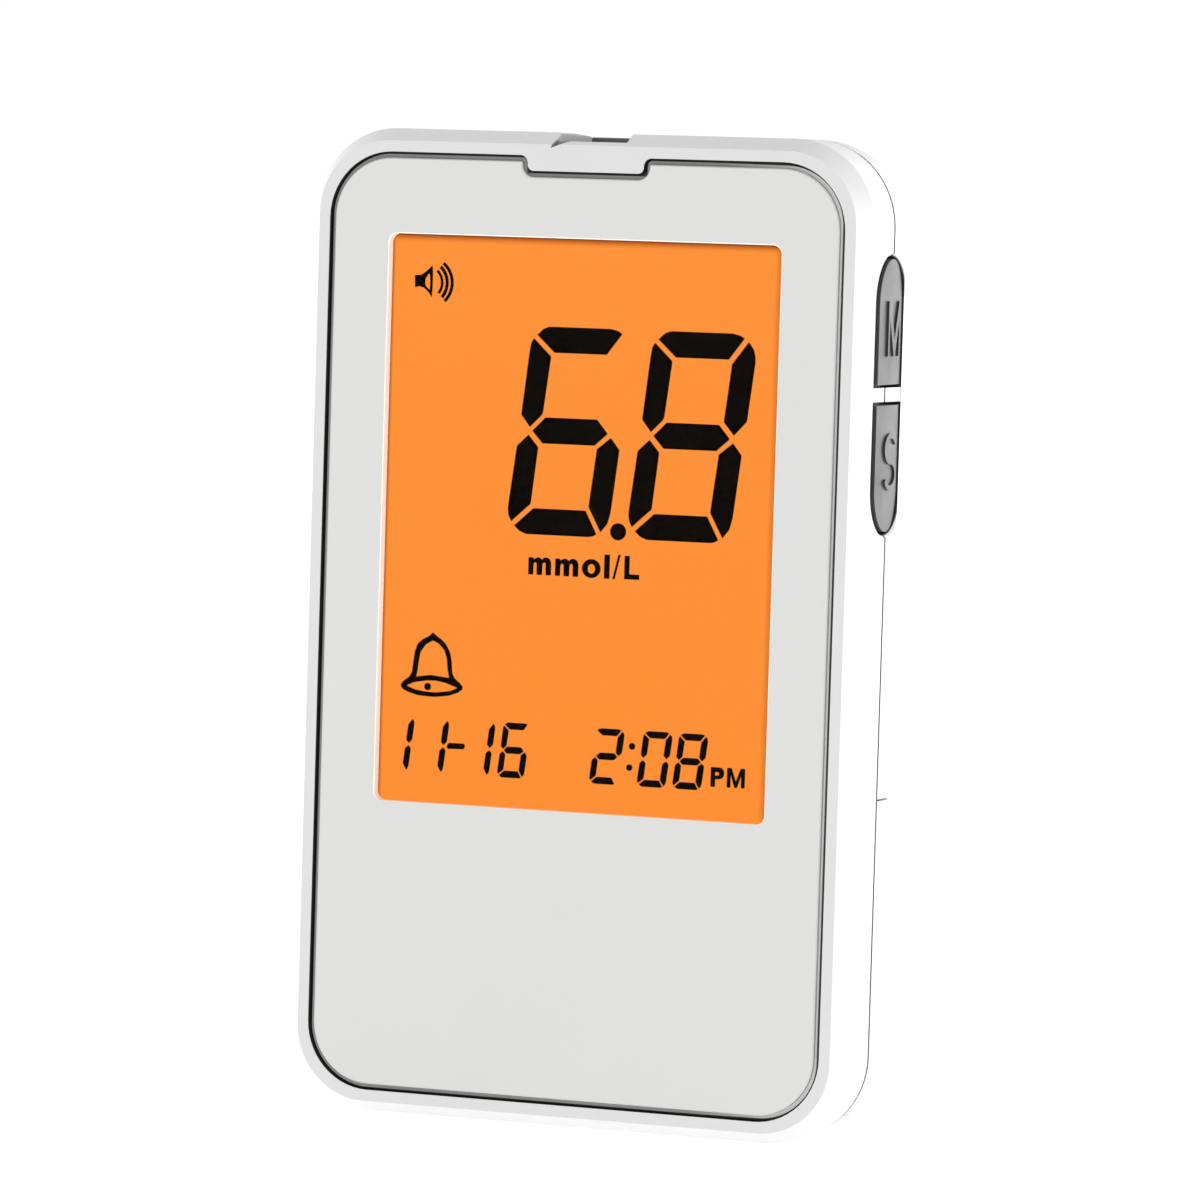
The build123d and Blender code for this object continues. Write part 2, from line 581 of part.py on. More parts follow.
def battery_door():
    """The clip-on door: back and sides in one skin above the bottom end, with latch and grips."""
    front = PARTING + SEAM / 2
    high = DOOR_TOP - DOOR_SEAM
    body = (rear_form(0, front) - rear_form(DOOR_WALL, front - 1)) & band(END_RAIL + DOOR_SEAM / 2, high)
    slot_z = (high - LATCH_L, high + 1)
    for side in (-1, 1):
        x = side * (LATCH_W + LATCH_SLOT) / 2
        body -= block((x - LATCH_SLOT / 2, x + LATCH_SLOT / 2), (BACK_INNER - 1, DEPTH + 1), slot_z)
    for n in range(GRIP_COUNT):
        z = high - 1.2 - n * GRIP_PITCH
        bar = SlotOverall(LATCH_W - 3, GRIP_T)
        body -= slab(Pos(0, z) * bar, DEPTH - GRIP_CUT, DEPTH + 1)
    return body


# ---------------------------------------------------------------- panel, gasket, display
def front_panel():
    """The grey face, with the aperture over the display."""
    body = slab(field(GROOVE) - view_outline(), 0, PANEL_T)
    return chamfer(body.faces().sort_by(Axis.Y)[0].edges(), PANEL_EDGE)


def panel_gasket():
    """The soft ring under the panel, with a rim that stands in the groove."""
    inner = GASKET_GAP + GASKET_FLANGE
    flange = slab(field(GASKET_GAP) - plain_field(inner), PANEL_T, PANEL_SEAT)
    rim = slab(field(GASKET_GAP) - field(GROOVE - TOUCH), GASKET_SUNK, PANEL_SEAT)
    return flange + rim


def display_window():
    """The clear window bonded behind the panel."""
    return slab(view_outline(LENS_LAP), PANEL_T, LENS_BACK)


def lcd_glass(top, front):
    """One glass of the display cell."""
    return slab(upright(GLASS_W, GLASS_LOW, top, TOUCH * 10), front, front + GLASS_T)


def light_guide():
    """The clear plate that spreads the backlight behind the cell."""
    shape = upright(GLASS_W - 0.4, GLASS_LOW + 0.3, REAR_GLASS_TOP - 0.2, TOUCH * 10)
    return slab(shape, GUIDE_FRONT, GUIDE_BACK)


def reflector_film():
    """The white film on the back of the light guide."""
    shape = upright(GLASS_W - 0.4, GLASS_LOW + 0.3, REAR_GLASS_TOP - 0.2, TOUCH * 10)
    return slab(shape, GUIDE_BACK, FILM_BACK)


def led_places():
    """Where the backlight's lamps lie across the top of the light guide."""
    return [(n - (LED_COUNT - 1) / 2) * LED_PITCH for n in range(LED_COUNT)]


def backlight_leds():
    """The lamps, on the board, that shine into the top edge of the light guide."""
    low = REAR_GLASS_TOP - 0.1
    z = (low, low + LED_SIZE[1])
    half = LED_SIZE[0] / 2
    lamps = [block((x - half, x + half), (GUIDE_FRONT + 0.3, BOARD_FRONT), z) for x in led_places()]
    return Compound(children=lamps)


def zebra_range():
    """Heights of the rubber strip that joins the cell's contacts to the board."""
    low = REAR_GLASS_TOP + LED_SIZE[1] + 0.3
    return low, low + ZEBRA_T


def zebra_strip():
    """Striped conductive rubber between the front glass and the board."""
    half = VIEW_W / 2 - ZEBRA_IN
    return block((-half, half), (CELL_TOP_GLASS + GLASS_T, BOARD_FRONT), zebra_range())


def display_frame():
    """The tray that holds the cell and the light guide against the casing's plate."""
    outer = upright(FRAME_W, FRAME_LOW, FRAME_TOP, 1.0)
    inner = upright(GLASS_W + 2 * TOUCH, GLASS_LOW - TOUCH, FRONT_GLASS_TOP + TOUCH, TOUCH * 10)
    body = slab(outer, PLATE_BACK, FRAME_FLOOR + FRAME_BACK_T) - slab(inner, 0, FRAME_FLOOR)
    strip_low, strip_high = zebra_range()
    half = VIEW_W / 2 - ZEBRA_IN + FIT
    body -= block((-half, half), (0, BOARD_FRONT), (strip_low - FIT, strip_high + FIT))
    for x in led_places():
        reach = LED_SIZE[0] / 2 + FIT
        body -= block((x - reach, x + reach), (0, BOARD_FRONT), (REAR_GLASS_TOP - 0.2, strip_low))
    foot_x, foot_z = FRAME_W / 2 - 2, (FRAME_LOW + 2, FRAME_TOP - 2)
    for side in (-1, 1):
        for z in foot_z:
            body += rod(side * foot_x, z, 1.0, FRAME_FLOOR, BOARD_FRONT)
    return body


# ---------------------------------------------------------------- board and what is on it
def main_board():
    """The circuit board, notched round the screw posts."""
    shape = upright(BOARD_W, BOARD_LOW, BOARD_TOP, 1.0) + upright(WING_W, WING_LOW, WING_TOP, 1.0)
    body = slab(shape, BOARD_FRONT, BOARD_BACK)
    for x, z in post_places():
        body -= rod(x, z, BOSS_R + DOOR_PLAY, BOARD_FRONT - 1, BOARD_BACK + 1)
    for x, z in BOARD_SCREW_AT:
        body -= rod(x, z, BOARD_SCREW_R + 4 * FIT, BOARD_FRONT - 1, BOARD_BACK + 1)
    return body


def on_board(x, z, size):
    """A package of a given width, height along the board and thickness on the board's back."""
    width, along, thick = size
    reach = ((x - width / 2, x + width / 2), (BOARD_BACK, BOARD_BACK + thick))
    return block(*reach, (z - along / 2, z + along / 2))


def processor():
    """The main chip, with a row of leads on each side."""
    size, thick, lead, count = 9.0, 1.2, 0.3, 10
    x, z = -0.13 * BOARD_W, (BOARD_LOW + BOARD_TOP) / 2 - size
    body = on_board(x, z, (size, size, thick))
    for n in range(count):
        step = (n - (count - 1) / 2) * 0.8
        body += on_board(x, z + step, (size + 1.6, lead, 0.2))
        body += on_board(x + step, z, (lead, size + 1.6, 0.2))
    return body


def board_parts():
    """The small packages: memory, amplifier, regulator, crystal and rows of passives."""
    across = BOARD_W / 10
    row = WING_LOW + 6.0
    packages = [
        on_board(2 * across, row + 13.0, (5.0, 4.0, 1.0)),
        on_board(2 * across, row + 4.0, (4.0, 5.0, 1.0)),
        on_board(-3 * across, POST_Z[1] - 1.5, (3.0, 3.0, 1.1)),
        on_board(across, row - 2.0, (7.0, 2.6, 1.4)),
    ]
    for n in range(6):
        packages.append(on_board(-across - 2.2 * n, row - 1.0, (1.0, 1.8, 0.6)))
        packages.append(on_board(3.5 * across, row + 2.0 + 2.4 * n, (1.8, 1.0, 0.6)))
    return Compound(children=packages)


# ---------------------------------------------------------------- speaker
def speaker():
    """A small speaker: a can with a shallow stepped cone side towards the grille."""
    back = BACK_INNER - SPEAKER_PAD
    body = rod(0, SPEAKER_Z, SPEAKER_R, back - 1.4, back)
    body += rod(0, SPEAKER_Z, SPEAKER_R - 2.2, back - SPEAKER_T, back - 1.4)
    return body - rod(0, SPEAKER_Z, SPEAKER_R - 1.2, back - 0.5, back + 1)


def speaker_pad():
    """The foam ring between the speaker and the back."""
    ring = Circle(SPEAKER_R) - Circle(SPEAKER_R - 1.2)
    return slab(Pos(0, SPEAKER_Z) * ring, BACK_INNER - SPEAKER_PAD, BACK_INNER)


def speaker_contacts():
    """Two sprung leaves from the board to the back of the speaker."""
    near = y_at(BOARD_BACK + LEAF_T / 2 + TOUCH)
    far = y_at(BACK_INNER - SPEAKER_PAD - SPEAKER_T - LEAF_T)
    foot, bend, top, end = (SPEAKER_Z + dz for dz in (-4.5, -1.5, 2.5, 3.8))
    path = Polyline((near, foot), (near, bend), (far, top), (far - 0.7, end))
    leaf = trace(path, LEAF_T)
    leaves = [sideways(leaf, x - 0.6, x + 0.6) for x in (-2.5, 2.5)]
    return Compound(children=[leaf.solids()[0] for leaf in leaves])


# ---------------------------------------------------------------- batteries
def battery(index):
    """One cell lying across the meter; the two lie head to tail."""
    z = BATTERY_Z[index]
    way = 1 if index == 0 else -1
    flat_end = -way * (BAY_HALF - PLATE_METAL - SPRING_L - 2 * TOUCH)
    seat = Pos(flat_end, y_at(BATTERY_AXIS), z) * Rot(0, way * 90, 0)
    shell = seat * Pos(0, 0, (CELL_L - NUB_L) / 2) * Cylinder(CELL_R, CELL_L - NUB_L)
    shell = fillet(shell.edges(), 0.5)
    nub = seat * Pos(0, 0, CELL_L / 2) * Cylinder(NUB_R, CELL_L)
    return shell + nub


def tails():
    """The two tails that join the cells to the board: X, depth and foot's depth of each."""
    x = (BAY_HALF - PLATE_METAL, BAY_HALF - TOUCH / 2)
    front = (PLATE_DEPTH[0], PLATE_DEPTH[0] + TAIL_W)
    front_foot = (BOARD_FRONT - TOUCH - PLATE_METAL, BOARD_FRONT - TOUCH)
    back = (BOARD_BACK + TOUCH, BOARD_BACK + TOUCH + LEG_W)
    back_foot = (BOARD_BACK + TOUCH, BOARD_BACK + TOUCH + PLATE_METAL)
    return (x, front, front_foot), (x, back, back_foot)


def tail(x, depth, foot):
    """A tail that rises out of the bay and turns in over the board's edge."""
    high = BOARD_LOW + 1.0
    whole = (min(depth[0], foot[0]), max(depth[1], foot[1]))
    rise = block(x, depth, (BATTERY_Z[0], high)) + block(x, whole, (BOARD_LOW + 0.1, high))
    return rise + block((BAY_HALF - LEG_FOOT, x[1]), foot, (BOARD_LOW + 0.1, high))


def tail_slots():
    """Slots in the top of the bay that let the tails out."""
    slots = []
    for x, depth, _ in tails():
        across = (x[0] - FIT, x[1] + TOUCH + FIT)
        along = (depth[0] - FIT, depth[1] + FIT)
        slots.append(block(across, along, (BAY_TOP - 1, BAY_END + 1)))
    return slots[0] + slots[1]


def battery_plates():
    """Three contact plates: one that joins the cells, two with tails to the board."""
    half = CELL_R - PLATE_IN[0]
    left = (-BAY_HALF + TOUCH / 2, -BAY_HALF + PLATE_METAL)
    joined = block(left, PLATE_DEPTH, (BATTERY_Z[0] - half, BATTERY_Z[1] + half))
    front_tail, back_tail = tails()
    right = front_tail[0]
    lower = block(right, PLATE_DEPTH, (BATTERY_Z[0] - half, BATTERY_Z[0] + half))
    lower += tail(*front_tail)
    depth = (PLATE_DEPTH[0] + TAIL_W + PLATE_SPACE, PLATE_DEPTH[1])
    upper = block(right, depth, (BATTERY_Z[1] - half, BATTERY_Z[1] + half))
    upper += tail(*back_tail) & band(BATTERY_Z[1], HEIGHT)
    return Compound(children=[joined, lower, upper])


def battery_springs():
    """Two coil springs that press on the flat ends of the cells."""
    coils = []
    for index, side in ((0, -1), (1, 1)):
        length = SPRING_L - 2 * SPRING_WIRE_R
        start = side * (BAY_HALF - PLATE_METAL - SPRING_WIRE_R - TOUCH)
        centre = (start, y_at(BATTERY_AXIS), BATTERY_Z[index])
        path = Helix(length / SPRING_TURNS, length, SPRING_R, center=centre, direction=(-side, 0, 0))
        section = Plane(origin=path @ 0, z_dir=path % 0) * Circle(SPRING_WIRE_R)
        coils.append(sweep(section, path=path).solids()[0])
    return Compound(children=coils)


# ---------------------------------------------------------------- screws
def screw(x, z, radius, head_r, head_t, seat, length):
    """A pan-head screw with a cross recess, driven in from the back."""
    body = rod(x, z, head_r, seat, seat + head_t) + rod(x, z, radius, seat - length, seat)
    arm, blade, sunk = head_r * 0.6, head_r * 0.2, head_t * 0.5
    for wide, tall in ((arm, blade), (blade, arm)):
        body -= block((x - wide, x + wide), (seat + head_t - sunk, seat + head_t + 1), (z - tall, z + tall))
    return body


def casing_screws():
    """The four screws that hold the casings together."""
    each = (SCREW_R, SCREW_HEAD_R, SCREW_HEAD_T, SCREW_SEAT, SCREW_L)
    return Compound(children=[screw(x, z, *each) for x, z in post_places()])


def board_screws():
    """The four screws that hold the board to the front casing."""
    each = (BOARD_SCREW_R, BOARD_SCREW_HEAD_R, BOARD_SCREW_HEAD_T, BOARD_BACK, BOARD_SCREW_L)
    return Compound(children=[screw(x, z, *each) for x, z in BOARD_SCREW_AT])


NODES = {
    "front_casing": front_casing(),
    "front_panel": front_panel(),
    "panel_gasket": panel_gasket(),
    "display_window": display_window(),
    "lcd_front_glass": lcd_glass(FRONT_GLASS_TOP, CELL_TOP_GLASS),
    "lcd_rear_glass": lcd_glass(REAR_GLASS_TOP, CELL_TOP_GLASS + GLASS_T),
    "light_guide": light_guide(),
    "reflector_film": reflector_film(),
    "backlight_leds": backlight_leds(),
    "zebra_strip": zebra_strip(),
    "display_frame": display_frame(),
    "main_board": main_board(),
    "processor": processor(),
    "board_parts": board_parts(),
    "strip_connector": strip_connector(),
    "strip_contacts": strip_contacts(),
    "strip_port": strip_port(),
    "m_button": button_cap("m"),
    "s_button": button_cap("s"),
    "m_switch": switch_body("m"),
    "s_switch": switch_body("s"),
    "m_plunger": switch_plunger("m"),
    "s_plunger": switch_plunger("s"),
    "speaker": speaker(),
    "speaker_pad": speaker_pad(),
    "speaker_contacts": speaker_contacts(),
    "rear_casing": rear_casing(),
    "battery_door": battery_door(),
    "lower_battery": battery(0),
    "upper_battery": battery(1),
    "battery_plates": battery_plates(),
    "battery_springs": battery_springs(),
    "casing_screws": casing_screws(),
    "board_screws": board_screws(),
}

os.makedirs("parts", exist_ok=True)
for name, shape in NODES.items():
    export_step(shape, f"parts/{name}.step")
    print(f"{name:18} {len(shape.solids()):3d} solids {shape.volume:10.1f} mm3")
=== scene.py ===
# %% [markdown]
# # Dressing a blood glucose meter
# The meter is already built as a set of solids, each one a real piece: two casings, a
# face panel, a window, a display, keys, cells and the board behind them. This lesson
# loads them as a fixed frame and gives every piece the finish that the real one has.
# It also makes what a solid can't carry: the dark marks of the lit display.

# %% Load the frame
from math import cos, pi, radians, sin

import bmesh
import bpy
from mathutils import Matrix, Vector


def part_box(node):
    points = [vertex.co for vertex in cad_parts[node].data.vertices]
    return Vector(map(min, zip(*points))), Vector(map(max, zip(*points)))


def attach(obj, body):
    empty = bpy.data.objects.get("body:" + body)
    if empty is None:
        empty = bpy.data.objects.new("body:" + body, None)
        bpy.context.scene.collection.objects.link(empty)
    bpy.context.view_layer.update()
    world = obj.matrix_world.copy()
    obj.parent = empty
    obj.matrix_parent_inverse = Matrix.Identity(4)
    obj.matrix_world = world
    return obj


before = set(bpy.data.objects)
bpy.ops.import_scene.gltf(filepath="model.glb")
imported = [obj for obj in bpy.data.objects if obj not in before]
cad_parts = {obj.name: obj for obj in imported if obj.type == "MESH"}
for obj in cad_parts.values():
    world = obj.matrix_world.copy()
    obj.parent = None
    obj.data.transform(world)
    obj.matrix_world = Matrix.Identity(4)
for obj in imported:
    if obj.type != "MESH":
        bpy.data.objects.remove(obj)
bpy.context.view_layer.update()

MM = 0.001
DEPTH = 16.4
MIDDLE_HEIGHT = 48.4 * MM

# %% [markdown]
# ## Camera
# Something this small looks best through a long lens from far away, because its sides
# then stay nearly parallel. The camera stands two thirds of a metre off, a little to the
# right and a little above, and leans by less than two degrees. Its three axes are worked
# out from those angles and written straight into its matrix.

# %% Camera
AZIMUTH = radians(21.6795)
ELEVATION = radians(3.3647)
LEAN = radians(1.7187)
DISTANCE = 0.663935
TO_THE_RIGHT = 2.7495
UPWARDS = 3.2101
LENS = 205.5
SENSOR_WIDTH = 36.0

towards_camera = Vector((
    sin(AZIMUTH) * cos(ELEVATION),
    -cos(AZIMUTH) * cos(ELEVATION),
    sin(ELEVATION),
))
level_right = (-towards_camera).cross(Vector((0, 0, 1))).normalized()
level_up = level_right.cross(-towards_camera)
right = cos(LEAN) * level_right + sin(LEAN) * level_up
up = cos(LEAN) * level_up - sin(LEAN) * level_right
face_middle = Vector((0, -DEPTH / 2 * MM, MIDDLE_HEIGHT))

camera_data = bpy.data.cameras.new("camera")
camera_data.lens = LENS
camera_data.sensor_width = SENSOR_WIDTH
camera_data.clip_start = 0.01
camera = bpy.data.objects.new("camera", camera_data)
axes = Matrix((right, up, towards_camera)).transposed().to_4x4()
place = face_middle + right * TO_THE_RIGHT * MM + up * UPWARDS * MM + towards_camera * DISTANCE
camera.matrix_world = Matrix.Translation(place) @ axes
bpy.context.scene.collection.objects.link(camera)
bpy.context.scene.camera = camera
print("camera at", [round(v, 4) for v in place])

# %% [markdown]
# ## Light and floor
# Small white products are shown on a white sweep. A bright surround lights every face a
# little; it is brightest behind and falls off towards the camera's side, so that the face
# stays a shade darker than its edges, which is what draws its outline. Two soft boxes
# stand beside the meter, level with its sides, and turn the side walls and bevels white.
# A third stands behind on the right, where the side wall would mirror it: dark, satin
# keys show hardly any colour of their own at a glance, only that box. The floor is pale,
# matt and lit from below, which brightens the lower bevel.

# %% Surround
AHEAD = 0.74
BEHIND = 1.01
world = bpy.data.worlds.new("studio")
bpy.context.scene.world = world
world.use_nodes = True
surround = world.node_tree.nodes["Background"]
surround.inputs["Color"].default_value = (1.0, 1.0, 0.996, 1.0)
heading = world.node_tree.nodes.new("ShaderNodeTexCoord")
split = world.node_tree.nodes.new("ShaderNodeSeparateXYZ")
fall_off = world.node_tree.nodes.new("ShaderNodeMapRange")
for name, value in (("From Min", -1.0), ("From Max", 0.8), ("To Min", AHEAD), ("To Max", BEHIND)):
    fall_off.inputs[name].default_value = value
world.node_tree.links.new(heading.outputs["Generated"], split.inputs[0])
world.node_tree.links.new(split.outputs["Y"], fall_off.inputs["Value"])
world.node_tree.links.new(fall_off.outputs["Result"], surround.inputs["Strength"])
bpy.context.scene.view_settings.view_transform = "Standard"


# %% Soft boxes
def soft_box(name, place, size, watts):
    """A square area light at a place, turned to face the middle of the meter."""
    data = bpy.data.lights.new(name, "AREA")
    data.shape = "SQUARE"
    data.size = size
    data.energy = watts
    lamp = bpy.data.objects.new(name, data)
    lamp.location = place
    lamp.rotation_euler = (LAMPS_AIM - Vector(place)).to_track_quat("-Z", "Y").to_euler()
    bpy.context.scene.collection.objects.link(lamp)
    return lamp


LAMPS_AIM = Vector((0, 0, 0.05))
lamps = [
    soft_box("right_box", (0.62, 0.10, 0.10), 0.40, 2.0),
    soft_box("left_box", (-0.62, 0.06, 0.10), 0.40, 2.2),
    soft_box("glance_box", (0.27, 0.66, 0.24), 0.45, 1.1),
]
print("lamps:", [lamp.name for lamp in lamps])

# %% Floor
FLOOR_HALF = 6.0
FLOOR_DROP = 0.05 * MM
floor_form = bmesh.new()
bmesh.ops.create_grid(floor_form, x_segments=1, y_segments=1, size=FLOOR_HALF)
floor_mesh = bpy.data.meshes.new("floor")
floor_form.to_mesh(floor_mesh)
floor_form.free()
floor = bpy.data.objects.new("floor", floor_mesh)
floor.location = (0, 0, -FLOOR_DROP)
bpy.context.scene.collection.objects.link(floor)


# %% [markdown]
# ## A kit for finishes
# Every finish below starts from the same three things: a pattern in the object's own
# coordinates, a shader, and a bump. The small helpers keep each material short. Patterns
# are measured in metres, so a grain of a fifth of a millimetre has a scale of 5000.

# %% Helpers for materials
class Finish:
    """A node material under construction."""

    def __init__(self, name):
        self.material = bpy.data.materials.new(name)
        self.material.use_nodes = True
        self.tree = self.material.node_tree
        self.shader = self.tree.nodes["Principled BSDF"]
        self.place = self.add("ShaderNodeTexCoord").outputs["Object"]

    def add(self, kind, **settings):
        node = self.tree.nodes.new(kind)
        for key, value in settings.items():
            setattr(node, key, value)
        return node

    def join(self, source, target):
        self.tree.links.new(source, target)

    def noise(self, scale, detail=2.0, roughness=0.5):
        """Soft random cloud, as a number from 0 to 1."""
        node = self.add("ShaderNodeTexNoise")
        node.inputs["Scale"].default_value = scale
        node.inputs["Detail"].default_value = detail
        node.inputs["Roughness"].default_value = roughness
        self.join(self.place, node.inputs["Vector"])
        return node.outputs["Fac"]

    def spread(self, value, low, high, start=0.3, end=0.7):
        """A number moved from the range start..end to low..high."""
        node = self.add("ShaderNodeMapRange")
        node.inputs["From Min"].default_value = start
        node.inputs["From Max"].default_value = end
        node.inputs["To Min"].default_value = low
        node.inputs["To Max"].default_value = high
        self.join(value, node.inputs["Value"])
        return node.outputs["Result"]

    def blend(self, amount, first, second):
        """Two colours, each a value or a socket, mixed by an amount."""
        node = self.add("ShaderNodeMix", data_type="RGBA")
        self.join(amount, node.inputs["Factor"])
        for socket, colour in ((node.inputs[6], first), (node.inputs[7], second)):
            if isinstance(colour, tuple):
                socket.default_value = (*colour, 1.0)
            else:
                self.join(colour, socket)
        return node.outputs[2]

    def sum(self, operation, first, second):
        """Arithmetic on numbers or sockets."""
        node = self.add("ShaderNodeMath", operation=operation)
        for socket, value in zip(node.inputs, (first, second)):
            if isinstance(value, (int, float)):
                socket.default_value = value
            else:
                self.join(value, socket)
        return node.outputs[0]

    def axis(self, letter):
        """One coordinate of the place on the piece, in metres."""
        node = self.add("ShaderNodeSeparateXYZ")
        self.join(self.place, node.inputs[0])
        return node.outputs[letter]

    def within(self, value, low, high, soft=0.00002):
        """1 between low and high, 0 outside, with a soft edge."""
        above = self.spread(value, 0.0, 1.0, low - soft, low + soft)
        below = self.spread(value, 1.0, 0.0, high - soft, high + soft)
        return self.sum("MULTIPLY", above, below)

    def apart(self, value, middle):
        """How far a number is from a middle value, either way."""
        return self.sum("ABSOLUTE", self.sum("SUBTRACT", value, middle), 0.0)

    def past(self, value, limit):
        """How far a number is past a limit, or 0 when it isn't."""
        return self.sum("MAXIMUM", self.sum("SUBTRACT", value, limit), 0.0)

    def diagonal(self, first, second):
        """The longest side of a right triangle, from its two others."""
        squares = self.sum("ADD", self.sum("POWER", first, 2.0), self.sum("POWER", second, 2.0))
        return self.sum("SQRT", squares, 0.0)

    def off_box(self, half_x, half_z, middle_z):
        """How far a place lies outside an upright rectangle round the middle line."""
        beside = self.past(self.apart(self.axis("X"), 0.0), half_x)
        above = self.past(self.apart(self.axis("Z"), middle_z), half_z)
        return self.diagonal(beside, above)

    def off_line(self, middle_y, middle_z, half_z):
        """How far a place lies from an upright line on the side wall."""
        beyond = self.past(self.apart(self.axis("Z"), middle_z), half_z)
        return self.diagonal(self.apart(self.axis("Y"), middle_y), beyond)

    def bump(self, height, distance, strength=1.0):
        node = self.add("ShaderNodeBump")
        node.inputs["Strength"].default_value = strength
        node.inputs["Distance"].default_value = distance
        self.join(height, node.inputs["Height"])
        self.join(node.outputs["Normal"], self.shader.inputs["Normal"])

    def set(self, **values):
        """Constant values on the shader, such as Metallic=1."""
        for key, value in values.items():
            self.shader.inputs[key.replace("_", " ")].default_value = value

    def colour(self, socket):
        self.join(socket, self.shader.inputs["Base Color"])

    def rough(self, socket):
        self.join(socket, self.shader.inputs["Roughness"])


def dress(finish, *nodes):
    """Gives a finish to pieces that came with the frame."""
    for node in nodes:
        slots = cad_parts[node].data.materials
        slots.clear()
        slots.append(finish.material)
    print(finish.material.name, "on", ", ".join(nodes))


def moulded(name, tone, lighter, darker, roughness, grain=0.00015, depth=0.000004):
    """Moulded plastic: a fine spark-eroded grain, faint cloudiness, uneven gloss."""
    f = Finish(name)
    cloud = f.noise(90.0, 3.0)
    dark, light = (tuple(c * share for c in tone) for share in (darker, lighter))
    f.colour(f.blend(f.spread(cloud, 0.0, 1.0), dark, light))
    speck = f.noise(1.0 / grain, 4.0, 0.6)
    f.rough(f.spread(f.noise(260.0, 3.0), roughness - 0.05, roughness + 0.05))
    f.bump(speck, depth)
    return f


# %% [markdown]
# ## Casing
# The shell is moulded in white ABS. The tool is lightly spark-eroded, so the surface is
# satin: it has a fine grain that breaks up reflections. No two mouldings are quite even,
# so the tone and the gloss drift a little over a few centimetres. Four places have shade
# painted into the colour where shade falls in the real thing: the left end of the finger
# scoop, at the strip port; the rear half's front edge, deep in the joint; the rim's inner
# wall, deep in the groove round the panel; and the keys' pocket behind their caps. All are
# rules on the place: the scoop's end is what lies behind the bevel's plane, between two
# sides and two heights, and the pocket is all within a radius of its middle line, apart
# from the bar between the keys, which gets no painted shade, like the side wall.

# %% Casing plastic
CASING_TONE = (0.664, 0.666, 0.668)
SCOOP_SHADE = (0.340, 0.342, 0.338)
JOINT_SHADE = (0.110, 0.110, 0.108)
GROOVE_SHADE = (0.030, 0.030, 0.030)
FRONT_FACE = -DEPTH / 2 * MM
BEVEL_FOOT = 95.6 * MM
BEVEL_SLOPE = 1.75
SCOOP_SIDES = (-3.8 * MM, -1.7 * MM)
SCOOP_HEIGHTS = (95.1 * MM, 96.79 * MM)
CORNER_BOX = (20.725 * MM, 40.0 * MM, MIDDLE_HEIGHT)
RIM_INSIDE = (6.6 * MM, 6.7 * MM)
GROOVE_DEPTHS = (0.07 * MM, 6.0 * MM)
POCKET_LINE = (-0.5 * MM, 72.425 * MM, 8.925 * MM)
POCKET_EDGE = (4.56 * MM, 4.60 * MM)
POCKET_SIDES = (25.0 * MM, 29.00 * MM)
BAR_HEIGHTS = (71.80 * MM, 73.16 * MM)
REAR_EDGE = (7.875 - DEPTH / 2) * MM
JOINT_TOP = (95.5 * MM, 95.6 * MM)


def casing_finish(name, with_joint):
    """White ABS with painted shade in its hollows and, on a rear piece, on its front edge."""
    f = moulded(name, CASING_TONE, 1.012, 0.985, 0.42)
    plain = f.shader.inputs["Base Color"].links[0].from_socket
    across, height = f.axis("X"), f.axis("Z")
    depth = f.sum("SUBTRACT", f.axis("Y"), FRONT_FACE)
    # Painted shade: the scoop's left end, behind the bevel's plane, is darkened to a mid grey.
    bevel = f.past(f.sum("MULTIPLY", f.sum("SUBTRACT", height, BEVEL_FOOT), BEVEL_SLOPE), 0.0)
    behind = f.spread(f.sum("SUBTRACT", depth, bevel), 0.0, 1.0, 0.04 * MM, 0.12 * MM)
    box = f.sum("MULTIPLY", f.within(across, *SCOOP_SIDES), f.within(height, *SCOOP_HEIGHTS))
    tone = f.blend(f.sum("MULTIPLY", behind, box), plain, SCOOP_SHADE)
    # Painted shade: the rim's inner wall in the groove round the panel and the keys' pocket are darkened
    # nearly to black, all but the bar between the keys.
    inside_rim = f.spread(f.off_box(*CORNER_BOX), 1.0, 0.0, *RIM_INSIDE)
    groove = f.sum("MULTIPLY", inside_rim, f.within(depth, *GROOVE_DEPTHS))
    inside_pocket = f.spread(f.off_line(*POCKET_LINE), 1.0, 0.0, *POCKET_EDGE)
    off_bar = f.sum("SUBTRACT", 1.0, f.within(height, *BAR_HEIGHTS))
    pocket = f.sum("MULTIPLY", f.sum("MULTIPLY", f.within(across, *POCKET_SIDES), inside_pocket), off_bar)
    tone = f.blend(f.sum("MAXIMUM", groove, pocket), tone, GROOVE_SHADE)
    if with_joint:
        # Painted shade: the rear half's front edge, deep in the joint, is darkened.
        front = f.spread(f.axis("Y"), 1.0, 0.0, REAR_EDGE + 0.010 * MM, REAR_EDGE + 0.020 * MM)
        edge = f.sum("MULTIPLY", front, f.spread(height, 1.0, 0.0, *JOINT_TOP))
        tone = f.blend(edge, tone, JOINT_SHADE)
    f.colour(tone)
    return f


dress(casing_finish("casing_front", False), "front_casing")
dress(casing_finish("casing_rear", True), "rear_casing", "battery_door")
